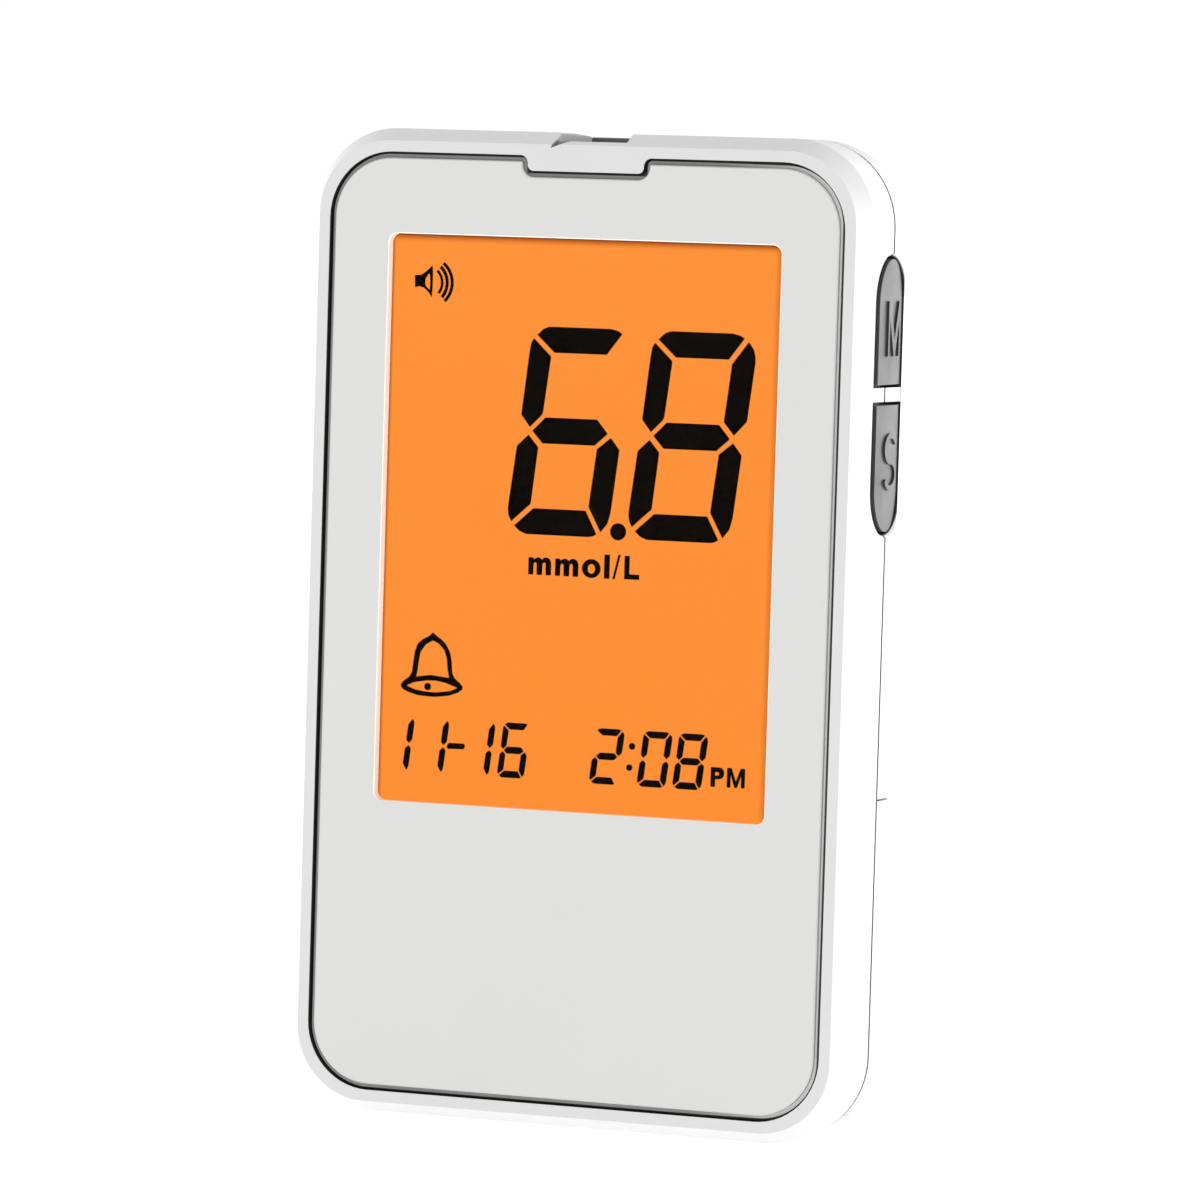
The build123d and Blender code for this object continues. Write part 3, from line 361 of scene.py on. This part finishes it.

# %% [markdown]
# ## Face panel
# The face is a separate sheet in a slightly warmer white than the casing, with a finer
# grain, so it reflects a little more sharply. Light from the display leaks into the edge
# of the aperture, and that light is painted on as a thin cream line along it.

# %% Panel plastic
APERTURE_HALF = 20.425 * MM
APERTURE_LOW = 30.95 * MM
APERTURE_TOP = 86.55 * MM
APERTURE_R = 0.9 * MM
EDGE_LINE = 0.11 * MM
panel_grey = Finish("panel_grey")
panel_cloud = panel_grey.spread(panel_grey.noise(60.0, 2.0), 0.0, 1.0)
sheet = panel_grey.blend(panel_cloud, (0.640, 0.641, 0.630), (0.650, 0.651, 0.640))
middle_z, half_z = (APERTURE_TOP + APERTURE_LOW) / 2, (APERTURE_TOP - APERTURE_LOW) / 2
# Painted light: a thin cream line round the aperture, where the display's light falls on its edge.
from_corner = panel_grey.off_box(APERTURE_HALF - APERTURE_R, half_z - APERTURE_R, middle_z)
line = panel_grey.spread(from_corner, 1.0, 0.0, APERTURE_R + EDGE_LINE - 0.02 * MM, APERTURE_R + EDGE_LINE)
panel_grey.colour(panel_grey.blend(line, sheet, (0.93, 0.90, 0.82)))
panel_grey.rough(panel_grey.spread(panel_grey.noise(200.0, 3.0), 0.36, 0.46))
panel_grey.bump(panel_grey.noise(9000.0, 3.0), 0.000003)
dress(panel_grey, "front_panel")

# %% [markdown]
# ## Gasket
# The thin dark line round the panel is a soft ring that stands in the groove. Soft rubber
# is dull and a little dusty. Its outer edge lies in the rim's shade, and that shade is painted
# on nearly black. The rest is grey, with painted light on the right, where the soft box
# shines along it. The rule is the distance from the rim: outside the box of the corners'
# middles, and off the tab.

# %% Gasket rubber
TAB_BOX = (6.03 * MM, 5.0 * MM, 98.0 * MM)
RIM_WALL = 6.1 * MM
SHADE_REACH = 0.24 * MM
REACH_ON_RIGHT = 0.16 * MM
TURNS_PALE = (14.0 * MM, 26.0 * MM)
gasket_grey = moulded("gasket_grey", (0.300, 0.300, 0.297), 1.08, 0.92, 0.75, 0.0001, 0.000006)
rubber = gasket_grey.shader.inputs["Base Color"].links[0].from_socket
from_rim = gasket_grey.sum("SUBTRACT", RIM_WALL, gasket_grey.off_box(*CORNER_BOX))
from_edge = gasket_grey.sum("MINIMUM", from_rim, gasket_grey.off_box(*TAB_BOX))
# Painted light: the gasket is painted paler towards the right.
rightness = gasket_grey.spread(gasket_grey.axis("X"), 0.0, 1.0, *TURNS_PALE)
pale = gasket_grey.blend(rightness, rubber, (0.80, 0.80, 0.79))
# Painted shade: a band next to the rim, wider on the right, is painted nearly black.
reach = gasket_grey.sum("ADD", SHADE_REACH, gasket_grey.sum("MULTIPLY", rightness, REACH_ON_RIGHT))
shade = gasket_grey.spread(gasket_grey.sum("SUBTRACT", from_edge, reach), 1.0, 0.0, -0.03 * MM, 0.03 * MM)
gasket_grey.colour(gasket_grey.blend(shade, pale, GROOVE_SHADE))
dress(gasket_grey, "panel_gasket")

# %% [markdown]
# ## Window
# The window is a clear sheet with a hard coat. It lies only a tenth of a millimetre in
# front of the display, so a full glass shader would add noise and no looks. A clear pass
# with a mirror layer, stronger at a glance, gives the same picture. The coat is made to
# cut reflections, so the mirror is weaker than bare plastic's.

# %% Window
window_clear = Finish("window_clear")
window_clear.tree.nodes.remove(window_clear.shader)
output = window_clear.tree.nodes["Material Output"]
clear = window_clear.add("ShaderNodeBsdfTransparent")
gloss = window_clear.add("ShaderNodeBsdfGlossy")
gloss.inputs["Roughness"].default_value = 0.08
glance = window_clear.add("ShaderNodeFresnel")
glance.inputs["IOR"].default_value = 1.08
layers = window_clear.add("ShaderNodeMixShader")
window_clear.join(glance.outputs[0], layers.inputs[0])
window_clear.join(clear.outputs[0], layers.inputs[1])
window_clear.join(gloss.outputs[0], layers.inputs[2])
window_clear.join(layers.outputs[0], output.inputs["Surface"])
dress(window_clear, "display_window")

# %% [markdown]
# ## Lit display
# The display is a liquid crystal cell with an amber light behind it. The light guide
# spreads the lamps so well that the face is almost even. What is left is a very faint
# grain from the diffusing film, and a slight glow towards the lamps at the upper edge.
# Right under the edge of the panel the crystal lies in the panel's shade, and that shade is
# painted into the glow as a short fade at the top and both sides.

# %% Amber cell
TOP_FADE = (APERTURE_TOP - 0.85 * MM, APERTURE_TOP - 0.05 * MM)
LEFT_FADE = (-APERTURE_HALF - 0.36 * MM, -APERTURE_HALF - 0.06 * MM)
RIGHT_FADE = (APERTURE_HALF - 1.30 * MM, APERTURE_HALF - 0.74 * MM)
SHADED_AMBER = (0.95, 0.16, 0.015)
BRIGHTNESS = 0.985
amber = Finish("amber_display")
film = amber.noise(4200.0, 3.0, 0.7)
rise = amber.spread(amber.axis("Z"), 0.0, 1.0, 0.030, 0.088)
glow = amber.blend(rise, (1.0, 0.272, 0.034), (1.0, 0.290, 0.042))
speckled = amber.blend(amber.spread(film, 0.0, 0.12), glow, (1.0, 0.34, 0.065))
# Painted shade: the glow dims to a deeper amber at the top and at both sides, under the panel's edge.
near_top = amber.spread(amber.axis("Z"), 0.0, 1.0, *TOP_FADE)
top_fade = amber.sum("SUBTRACT", 1.0, amber.sum("MULTIPLY", amber.sum("POWER", near_top, 1.7), 0.75))
left_fade = amber.spread(amber.axis("X"), 0.5, 1.0, *LEFT_FADE)
right_fade = amber.spread(amber.axis("X"), 1.0, 0.75, *RIGHT_FADE)
fades = amber.sum("MULTIPLY", top_fade, amber.sum("MULTIPLY", left_fade, right_fade))
amber.join(amber.sum("MULTIPLY", fades, BRIGHTNESS), amber.shader.inputs["Emission Strength"])
amber.join(amber.blend(fades, SHADED_AMBER, speckled), amber.shader.inputs["Emission Color"])
amber.set(Base_Color=(0.010, 0.004, 0.001, 1.0), Roughness=0.35, Specular_IOR_Level=0.0)
dress(amber, "lcd_front_glass")

# %% [markdown]
# ## Marks on the display
# A display shows its figures by darkening shapes in the crystal. The shapes are flat, so
# each is a thin plate just in front of the cell. A plate starts as a few corner points
# that are filled with one face, and that face is extruded. Every figure is picked from
# the same seven bars. They lean to the right, and the lowest one is cut steeper at its
# right end than the others, so each bar has its own outline.

# %% Where the marks lie
MARK_FRONT = (1.860 - DEPTH / 2) * MM
MARK_BACK = (1.892 - DEPTH / 2) * MM


def raise_plate(form, faces):
    """Gives flat faces on the marks' front plane their thickness."""
    grown = bmesh.ops.extrude_face_region(form, geom=faces)
    moved = [item for item in grown["geom"] if isinstance(item, bmesh.types.BMVert)]
    bmesh.ops.translate(form, verts=moved, vec=(0, MARK_BACK - MARK_FRONT, 0))


def corners(form, points, at, scale):
    """The corner points of a mark, given in millimetres across and up."""
    return [
        form.verts.new(((at[0] + x * scale[0]) * MM, MARK_FRONT, (at[1] + z * scale[1]) * MM))
        for x, z in points
    ]


def outline_face(form, points, at=(0.0, 0.0), scale=(1.0, 1.0)):
    """One flat face from its corners."""
    return form.faces.new(corners(form, points, at, scale))


def finish_marks(form, name, material):
    """Closes a set of plates into one piece that rides on the meter."""
    bmesh.ops.recalc_face_normals(form, faces=form.faces)
    mesh = bpy.data.meshes.new(name)
    form.to_mesh(mesh)
    form.free()
    piece = bpy.data.objects.new(name, mesh)
    bpy.context.scene.collection.objects.link(piece)
    mesh.materials.append(material)
    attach(piece, "meter")
    print(name, len(mesh.polygons), "faces")
    return piece


# %% Dark crystal
dark_crystal = Finish("dark_crystal")
depth_of_tone = dark_crystal.noise(1500.0, 2.0)
dark_crystal.colour(dark_crystal.blend(depth_of_tone, (0.0022, 0.0014, 0.0010), (0.0045, 0.0026, 0.0018)))
dark_crystal.set(Roughness=0.5, Specular_IOR_Level=0.0)

# %% Bars of a figure
BARS = {
    "top": [
        (-3.7, 9.34), (-3.1, 9.92), (-2.45, 10.17), (3.95, 10.17),
        (4.7, 10.0), (5.17, 9.72), (3.6, 7.65), (-1.85, 7.65),
    ],
    "upper_left": [
        (-4.05, 9.0), (-2.2, 7.27), (-2.88, 1.8), (-3.1, 1.45),
        (-4.22, 0.35), (-5.16, 1.55), (-4.5, 7.5), (-4.33, 8.55),
    ],
    "upper_right": [
        (5.62, 9.4), (3.95, 7.22), (3.28, 1.62), (4.36, 0.35),
        (5.66, 1.75), (6.34, 7.4), (6.34, 7.95), (6.14, 8.7),
    ],
    "middle": [(-3.95, 0.0), (-2.6, 1.34), (2.8, 1.34), (3.95, 0.0), (2.6, -1.2), (-2.85, -1.2)],
    "lower_left": [
        (-4.33, -0.4), (-5.53, -1.53), (-6.3, -7.6), (-6.2, -8.36),
        (-5.9, -8.91), (-3.9, -7.12), (-3.28, -1.6),
    ],
    "lower_right": [
        (4.3, -0.38), (2.87, -1.53), (2.16, -7.16), (3.5, -9.58),
        (4.2, -8.7), (4.5, -7.57), (5.22, -1.53),
    ],
    "bottom": [
        (-3.6, -7.54), (1.86, -7.54), (3.08, -9.79), (2.7, -10.0),
        (2.3, -10.09), (-4.3, -10.09), (-5.03, -9.8), (-5.57, -9.3),
    ],
}
FIGURES = {
    "0": [bar for bar in BARS if bar != "middle"],
    "1": ["upper_right", "lower_right"],
    "2": ["top", "upper_right", "middle", "lower_left", "bottom"],
    "6": [bar for bar in BARS if bar != "upper_right"],
    "8": list(BARS),
}


def figure(form, digit, at, scale=(1.0, 1.0)):
    """The faces of one seven-bar figure."""
    return [outline_face(form, BARS[bar], at, scale) for bar in FIGURES[digit]]


def dot(form, x, z, radius):
    """A round mark."""
    turn = Matrix.Translation((x * MM, MARK_FRONT, z * MM)) @ Matrix.Rotation(pi / 2, 4, "X")
    ring = bmesh.ops.create_circle(form, cap_ends=True, segments=40, radius=radius * MM, matrix=turn)
    return [face for face in ring["verts"][0].link_faces]


# %% The reading
reading = bmesh.new()
marks = figure(reading, "6", (-1.555, 67.78)) + figure(reading, "8", (11.09, 67.78))
marks += dot(reading, 3.78, 58.35, 0.83)
raise_plate(reading, marks)
finish_marks(reading, "reading", dark_crystal.material)

# %% [markdown]
# The date and the clock use the same figures at about a quarter of the size. The clock's
# are a little broader.

# %% Date and clock
DATE_SCALE = (0.267, 0.267)
CLOCK_SCALE = (0.280, 0.268)
DATE_MIDDLE = 36.48
clock = bmesh.new()
marks = []
for digit, x in (("1", -18.80), ("1", -15.10), ("1", -10.20), ("6", -6.48)):
    marks += figure(clock, digit, (x, DATE_MIDDLE), DATE_SCALE)
for digit, x in (("2", 3.30), ("0", 8.29), ("8", 11.98)):
    marks += figure(clock, digit, (x, DATE_MIDDLE - 0.02), CLOCK_SCALE)
dash = [
    (-13.61, 36.50), (-13.39, 36.84), (-11.83, 36.86), (-11.64, 36.66), (-11.78, 36.30), (-13.50, 36.25),
]
marks.append(outline_face(clock, dash))
marks += dot(clock, 5.91, 37.61, 0.33) + dot(clock, 5.68, 35.53, 0.32)
raise_plate(clock, marks)
finish_marks(clock, "date_and_clock", dark_crystal.material)


# %% [markdown]
# ## Letters on the display
# The unit and the half of the day are plain, heavy letters. A display maker draws them
# as outlines on the mask, and so does this cell: each letter is a loop of corners, some
# with a window inside, filled between the loops. The round letter is two circles pressed
# to ovals and bridged.

# %% Helpers for letters
def filled(form, outer, holes=(), at=(0.0, 0.0), scale=(1.0, 1.0)):
    """A flat face with holes, filled between its loops."""
    edges = []
    for loop in (outer, *holes):
        ring = corners(form, loop, at, scale)
        edges += [form.edges.new((ring[n - 1], ring[n])) for n in range(len(ring))]
    made = bmesh.ops.triangle_fill(form, edges=edges, use_beauty=True, normal=(0, -1, 0))
    return [item for item in made["geom"] if isinstance(item, bmesh.types.BMFace)]


def oval_ring(form, *ovals):
    """The band between two ovals, each given by its middle and its two radii."""
    edges = set()
    for x, z, across, up in ovals:
        place = Matrix.Translation((x * MM, MARK_FRONT, z * MM)) @ Matrix.Rotation(pi / 2, 4, "X")
        shape = Matrix.Diagonal((across * MM, up * MM, 1.0, 1.0))
        made = bmesh.ops.create_circle(form, segments=40, radius=1.0, matrix=place @ shape)
        edges |= {edge for vert in made["verts"] for edge in vert.link_edges}
    return bmesh.ops.bridge_loops(form, edges=list(edges))["faces"]


# %% Unit and half of the day
LOWER_M = [
    (0.0, 0.04), (0.0, 1.65), (0.05, 1.69), (0.46, 1.69),
    (0.52, 1.55), (0.61, 1.52), (0.72, 1.63), (0.95, 1.71),
    (1.15, 1.69), (1.30, 1.60), (1.37, 1.50), (1.45, 1.53),
    (1.55, 1.65), (1.75, 1.74), (2.00, 1.71), (2.22, 1.59),
    (2.35, 1.36), (2.39, 1.10), (2.38, 0.04), (2.34, 0.0),
    (1.87, 0.0), (1.83, 0.05), (1.80, 1.10), (1.76, 1.20),
    (1.66, 1.24), (1.53, 1.17), (1.47, 1.00), (1.45, 0.04),
    (1.41, 0.0), (0.92, 0.0), (0.88, 0.04), (0.86, 1.05),
    (0.81, 1.17), (0.71, 1.21), (0.59, 1.15), (0.54, 1.00), (0.52, 0.04), (0.48, 0.0), (0.04, 0.0),
]
UPPER_L = [(4.55, 53.78), (4.55, 56.06), (5.08, 56.06), (5.08, 54.28), (6.12, 54.28), (6.12, 53.78)]
LOWER_L = [(2.44, 53.74), (2.44, 56.08), (3.01, 56.08), (3.01, 53.74)]
SLASH = [(3.33, 53.74), (3.89, 56.12), (4.13, 56.12), (3.57, 53.74)]
UPPER_P = [
    (14.15, 34.22), (14.15, 36.05), (14.19, 36.09), (15.05, 36.09),
    (15.30, 36.02), (15.48, 35.82), (15.53, 35.52),
    (15.47, 35.22), (15.28, 35.02), (15.02, 34.94), (14.62, 34.94),
    (14.62, 34.22), (14.56, 34.18), (14.20, 34.18),
]
P_WINDOW = [
    (14.60, 35.63), (14.88, 35.63), (15.00, 35.56), (15.02, 35.45),
    (14.96, 35.34), (14.86, 35.30), (14.60, 35.30),
]
UPPER_M = [
    (15.83, 34.24), (15.83, 36.06), (15.87, 36.10), (16.26, 36.10),
    (16.32, 36.03), (16.76, 34.85), (17.20, 36.03),
    (17.26, 36.10), (17.64, 36.10), (17.68, 36.06), (17.68, 34.24),
    (17.64, 34.20), (17.33, 34.20), (17.29, 34.24),
    (17.29, 35.36), (16.90, 34.26), (16.84, 34.20), (16.66, 34.20),
    (16.60, 34.26), (16.21, 35.40), (16.21, 34.24),
    (16.17, 34.20), (15.87, 34.20),
]
unit = bmesh.new()
marks = filled(unit, LOWER_M, at=(-5.50, 53.77))
marks += filled(unit, LOWER_M, at=(-2.69, 53.77), scale=(1.02, 1.0))
marks += oval_ring(unit, (1.10, 54.65, 0.975, 0.92), (1.11, 54.62, 0.39, 0.475))
marks += [outline_face(unit, SLASH), outline_face(unit, LOWER_L)] + filled(unit, UPPER_L)
raise_plate(unit, marks)
finish_marks(unit, "unit", dark_crystal.material)
half_of_day = bmesh.new()
raise_plate(half_of_day, filled(half_of_day, UPPER_P, [P_WINDOW]) + filled(half_of_day, UPPER_M))
finish_marks(half_of_day, "half_of_day", dark_crystal.material)


# %% [markdown]
# ## Pictures on the display
# A loudspeaker says that sound is on, and a bell that an alarm is set. The bell is drawn
# as a closed outline with two windows in it, filled between loops as the letters are.
# The sound waves are bands: one short edge, spun about the middle of the arc.

# %% Sound wave
WAVE_STEPS = 20
WAVE_HEIGHT = 81.81
WAVES = (
    (-17.07, 1.59, 0.28, 48.6, -39.2),
    (-17.02, 2.07, 0.33, 50.0, -41.9),
    (-16.84, 2.42, 0.32, 53.4, -46.3),
)


def wave(form, x, z, radius, width, start, end):
    """A curved band about a point, from one angle to another."""
    turn = Matrix.Rotation(radians(-start), 4, "Y")
    spots = [Vector((radius - width / 2, 0, 0)), Vector((radius + width / 2, 0, 0))]
    centre = Vector((x * MM, MARK_FRONT, z * MM))
    ends = [form.verts.new(centre + (turn @ spot) * MM) for spot in spots]
    edge = form.edges.new(ends)
    before = set(form.faces)
    turned = radians(start - end)
    bmesh.ops.spin(form, geom=[edge, *ends], cent=centre, axis=(0, 1, 0), angle=turned, steps=WAVE_STEPS)
    return [face for face in form.faces if face not in before]


# %% Loudspeaker and bell
pictures = bmesh.new()
cone = [
    (-18.40, 82.50), (-17.71, 82.56), (-17.12, 82.96), (-16.56, 83.50), (-16.49, 82.91),
    (-16.48, 81.52), (-16.54, 80.40), (-16.90, 80.87), (-17.37, 81.28), (-17.91, 81.43),
    (-18.34, 81.30),
]
cone_light = [
    (-16.94, 82.68), (-16.80, 82.62), (-16.74, 81.86), (-16.78, 81.10),
    (-17.12, 81.38), (-17.28, 81.66), (-17.26, 82.19),
]
bell = [
    (-15.40, 47.60), (-15.79, 47.22), (-16.48, 46.87), (-16.99, 46.40), (-17.28, 45.60),
    (-17.41, 44.53), (-17.51, 43.60), (-17.82, 43.10), (-18.44, 42.66), (-18.70, 42.25),
    (-18.50, 41.92), (-18.00, 41.66), (-16.74, 41.33), (-15.09, 41.26), (-13.53, 41.46),
    (-12.55, 41.82), (-12.10, 42.15), (-12.08, 42.42), (-12.40, 42.78), (-12.97, 43.22),
    (-13.23, 43.71), (-13.31, 44.75), (-13.50, 45.70), (-13.98, 46.52), (-14.57, 47.02),
    (-14.96, 47.24),
]
bell_window = [
    (-15.37, 46.80), (-16.12, 46.36), (-16.66, 45.60), (-16.84, 44.56), (-16.94, 43.62),
    (-17.06, 43.18), (-15.50, 43.41), (-13.54, 43.22), (-13.74, 44.08), (-13.83, 45.04),
    (-14.12, 45.89), (-14.73, 46.52),
]
brim_window = [
    (-18.04, 42.24), (-17.22, 42.61), (-15.92, 42.84), (-14.96, 42.87), (-13.91, 42.71),
    (-12.64, 42.28), (-13.37, 41.94), (-14.93, 41.71), (-16.32, 41.77), (-17.37, 41.96),
]
marks = filled(pictures, cone, [cone_light]) + filled(pictures, bell, [bell_window, brim_window])
marks += dot(pictures, -15.80, 42.25, 0.36)
for x, radius, width, start, end in WAVES:
    marks += wave(pictures, x, WAVE_HEIGHT, radius, width, start, end)
raise_plate(pictures, marks)
finish_marks(pictures, "pictures", dark_crystal.material)

# %% [markdown]
# ## Keys
# The two keys are soft-touch mouldings with a raised letter. The coating is nearly black,
# and very finely dimpled: looked at straight on it stays dark, and at a glance it turns
# grey with whatever stands behind it. A low base colour, a broad gloss and a little sheen
# do the same, so the letters need no paint: their front walls stay dark by themselves.

# %% Key finish
key_coat = moulded("key_coat", (0.034, 0.034, 0.034), 1.12, 0.88, 0.40, 0.0001, 0.000004)
key_coat.set(Specular_IOR_Level=0.40, Sheen_Weight=0.10, Sheen_Roughness=0.35)
dress(key_coat, "m_button", "s_button")

# %% [markdown]
# ## Strip port
# The strip slides into a slot in a dark insert at the top. It is glass-filled plastic, so
# it is nearly black with a coarse dull grain.

# %% Port plastic
port_dark = moulded("port_dark", (0.085, 0.087, 0.092), 1.2, 0.8, 0.55, 0.00012, 0.000008)
dress(port_dark, "strip_port", "strip_connector")

# %% [markdown]
# ## Parts behind the face
# The rest is seen only when the casings are apart.
# The board is green varnish over copper tracks: a brick pattern turned into thin lines
# makes the tracks, and round pads come from a cell pattern.

# %% Circuit board
board_green = Finish("board_green")
tracks = board_green.add("ShaderNodeTexBrick")
tracks.offset = 0.35
tracks.inputs["Scale"].default_value = 320.0
tracks.inputs["Mortar Size"].default_value = 0.06
tracks.inputs["Mortar Smooth"].default_value = 0.1
turned = board_green.add("ShaderNodeMapping")
turned.inputs["Rotation"].default_value = (pi / 2, 0, 0)
board_green.join(board_green.place, turned.inputs["Vector"])
board_green.join(turned.outputs[0], tracks.inputs["Vector"])
pads = board_green.add("ShaderNodeTexVoronoi")
pads.inputs["Scale"].default_value = 260.0
board_green.join(board_green.place, pads.inputs["Vector"])
pad = board_green.spread(pads.outputs["Distance"], 1.0, 0.0, 0.16, 0.20)
varnish = board_green.blend(tracks.outputs["Fac"], (0.012, 0.105, 0.045), (0.030, 0.190, 0.075))
board_green.colour(board_green.blend(pad, varnish, (0.62, 0.48, 0.22)))
board_green.rough(board_green.spread(board_green.noise(500.0), 0.22, 0.34))
board_green.bump(tracks.outputs["Fac"], 0.00002, 0.6)
dress(board_green, "main_board")

# %% Chips, switches and foam
chip_black = moulded("chip_black", (0.030, 0.030, 0.033), 1.2, 0.8, 0.58, 0.00010, 0.000006)
dress(chip_black, "processor", "board_parts", "m_switch", "s_switch")
foam_black = moulded("foam_black", (0.022, 0.022, 0.022), 1.5, 0.6, 0.95, 0.00025, 0.00006)
dress(foam_black, "speaker_pad")
frame_white = moulded("frame_white", (0.72, 0.72, 0.69), 1.02, 0.96, 0.50)
dress(frame_white, "display_frame", "m_plunger", "s_plunger")

# %% [markdown]
# Light guides glow where light leaves them, and that glow is painted into their colour as
# warm dots. The film behind is bright white.

# %% Display stack
guide_clear = Finish("guide_clear")
dots = guide_clear.add("ShaderNodeTexVoronoi")
dots.inputs["Scale"].default_value = 1400.0
guide_clear.join(guide_clear.place, dots.inputs["Vector"])
# Painted light: the guide's dots are coloured amber for the glow of the lamps.
guide_clear.colour(guide_clear.blend(dots.outputs["Distance"], (0.95, 0.72, 0.50), (0.90, 0.58, 0.34)))
guide_clear.set(Roughness=0.12, Coat_Weight=0.6)
dress(guide_clear, "light_guide")
film_white = moulded("film_white", (0.86, 0.86, 0.85), 1.01, 0.98, 0.20, 0.0003, 0.000002)
dress(film_white, "reflector_film")
rear_glass = moulded("rear_glass", (0.90, 0.48, 0.20), 1.03, 0.97, 0.10, 0.0004, 0.000001)
rear_glass.set(Coat_Weight=1.0)
dress(rear_glass, "lcd_rear_glass")
lamp_amber = moulded("lamp_amber", (1.0, 0.72, 0.42), 1.0, 0.9, 0.25, 0.0003, 0.000003)
lamp_amber.set(Emission_Color=(1.0, 0.45, 0.12, 1.0), Emission_Strength=0.8)
dress(lamp_amber, "backlight_leds")

# %% [markdown]
# The rubber strip that joins the display to the board is a sandwich: hundreds of thin
# layers, black where they conduct and red where they don't. A wave pattern along X draws
# them.

# %% Striped rubber
stripes = Finish("striped_rubber")
layers_along = stripes.add("ShaderNodeTexWave", wave_type="BANDS", bands_direction="X")
layers_along.inputs["Scale"].default_value = 900.0
stripes.join(stripes.place, layers_along.inputs["Vector"])
stripes.colour(stripes.blend(layers_along.outputs["Fac"], (0.30, 0.045, 0.05), (0.018, 0.018, 0.020)))
stripes.set(Roughness=0.7)
stripes.bump(layers_along.outputs["Fac"], 0.00001)
dress(stripes, "zebra_strip")


# %% [markdown]
# ## Metals
# Small metal pieces differ in how they were worked. Drawn cans and screws have fine lines
# one way, which a stretched noise gives. Plated contacts are smoother and golden.

# %% Metals
def worked_metal(name, colour, roughness, stretch):
    """Metal with fine lines: a noise squeezed along one axis by a mapping."""
    f = Finish(name)
    lines = f.add("ShaderNodeMapping")
    lines.inputs["Scale"].default_value = stretch
    f.join(f.place, lines.inputs["Vector"])
    grain = f.add("ShaderNodeTexNoise")
    grain.inputs["Scale"].default_value = 900.0
    grain.inputs["Detail"].default_value = 4.0
    f.join(lines.outputs[0], grain.inputs["Vector"])
    f.colour(f.blend(grain.outputs["Fac"], tuple(c * 0.86 for c in colour), colour))
    f.rough(f.spread(grain.outputs["Fac"], roughness - 0.08, roughness + 0.08))
    f.bump(grain.outputs["Fac"], 0.000004)
    f.set(Metallic=1.0)
    return f


gold = worked_metal("gold_plate", (0.90, 0.68, 0.30), 0.25, (1.0, 1.0, 0.15))
dress(gold, "strip_contacts", "speaker_contacts")
nickel = worked_metal("nickel_plate", (0.78, 0.77, 0.74), 0.28, (0.2, 1.0, 1.0))
dress(nickel, "battery_plates", "battery_springs")
zinc = worked_metal("zinc_plate", (0.66, 0.67, 0.69), 0.36, (1.0, 0.15, 1.0))
dress(zinc, "casing_screws", "board_screws")
can = worked_metal("speaker_can", (0.60, 0.60, 0.62), 0.34, (1.0, 0.2, 1.0))
dress(can, "speaker")

# %% [markdown]
# ## Cells
# A cell is a metal can in a printed sleeve. The sleeve stops short of both ends, where
# bare metal shows, and a copper-coloured band marks the end with the nub. All of this is
# a rule on the distance along the cell, so each cell gets its own ends.

# %% Cell finish
BARE_END = 1.3 * MM
BAND = 12 * MM


def cell_finish(name, node, nub_side):
    """A plain sleeve with a copper band at the nub's end and bare metal rims."""
    f = Finish(name)
    low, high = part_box(node)
    along = f.axis("X")
    body = f.within(along, low[0] + BARE_END, high[0] - BARE_END)
    start, end = (high[0] - BAND, high[0]) if nub_side > 0 else (low[0], low[0] + BAND)
    band = f.within(along, start, end)
    scuff = f.noise(350.0, 5.0, 0.65)
    dark = f.blend(f.spread(scuff, 0.0, 1.0), (0.030, 0.034, 0.042), (0.045, 0.050, 0.060))
    copper = f.blend(f.spread(scuff, 0.0, 1.0), (0.55, 0.27, 0.12), (0.66, 0.34, 0.16))
    sleeve = f.blend(band, dark, copper)
    f.colour(f.blend(body, (0.74, 0.74, 0.73), sleeve))
    f.join(f.spread(body, 1.0, 0.35, 0.0, 1.0), f.shader.inputs["Metallic"])
    f.rough(f.spread(scuff, 0.22, 0.36))
    f.bump(scuff, 0.000004)
    return f


dress(cell_finish("cell_sleeve_lower", "lower_battery", 1), "lower_battery")
dress(cell_finish("cell_sleeve_upper", "upper_battery", -1), "upper_battery")

# %% [markdown]
# ## Floor finish
# The sweep is matt paper with a very fine tooth, lit from below so that only the faintest
# shadow is left round the foot.

# %% Paper
paper = Finish("paper")
tooth = paper.noise(700.0, 4.0)
paper.colour(paper.blend(tooth, (0.49, 0.49, 0.488), (0.51, 0.51, 0.508)))
paper.set(Roughness=0.95, Specular_IOR_Level=0.1)
paper.set(Emission_Color=(1.0, 1.0, 0.997, 1.0), Emission_Strength=0.95)
paper.bump(tooth, 0.00003)
floor_mesh.materials.append(paper.material)
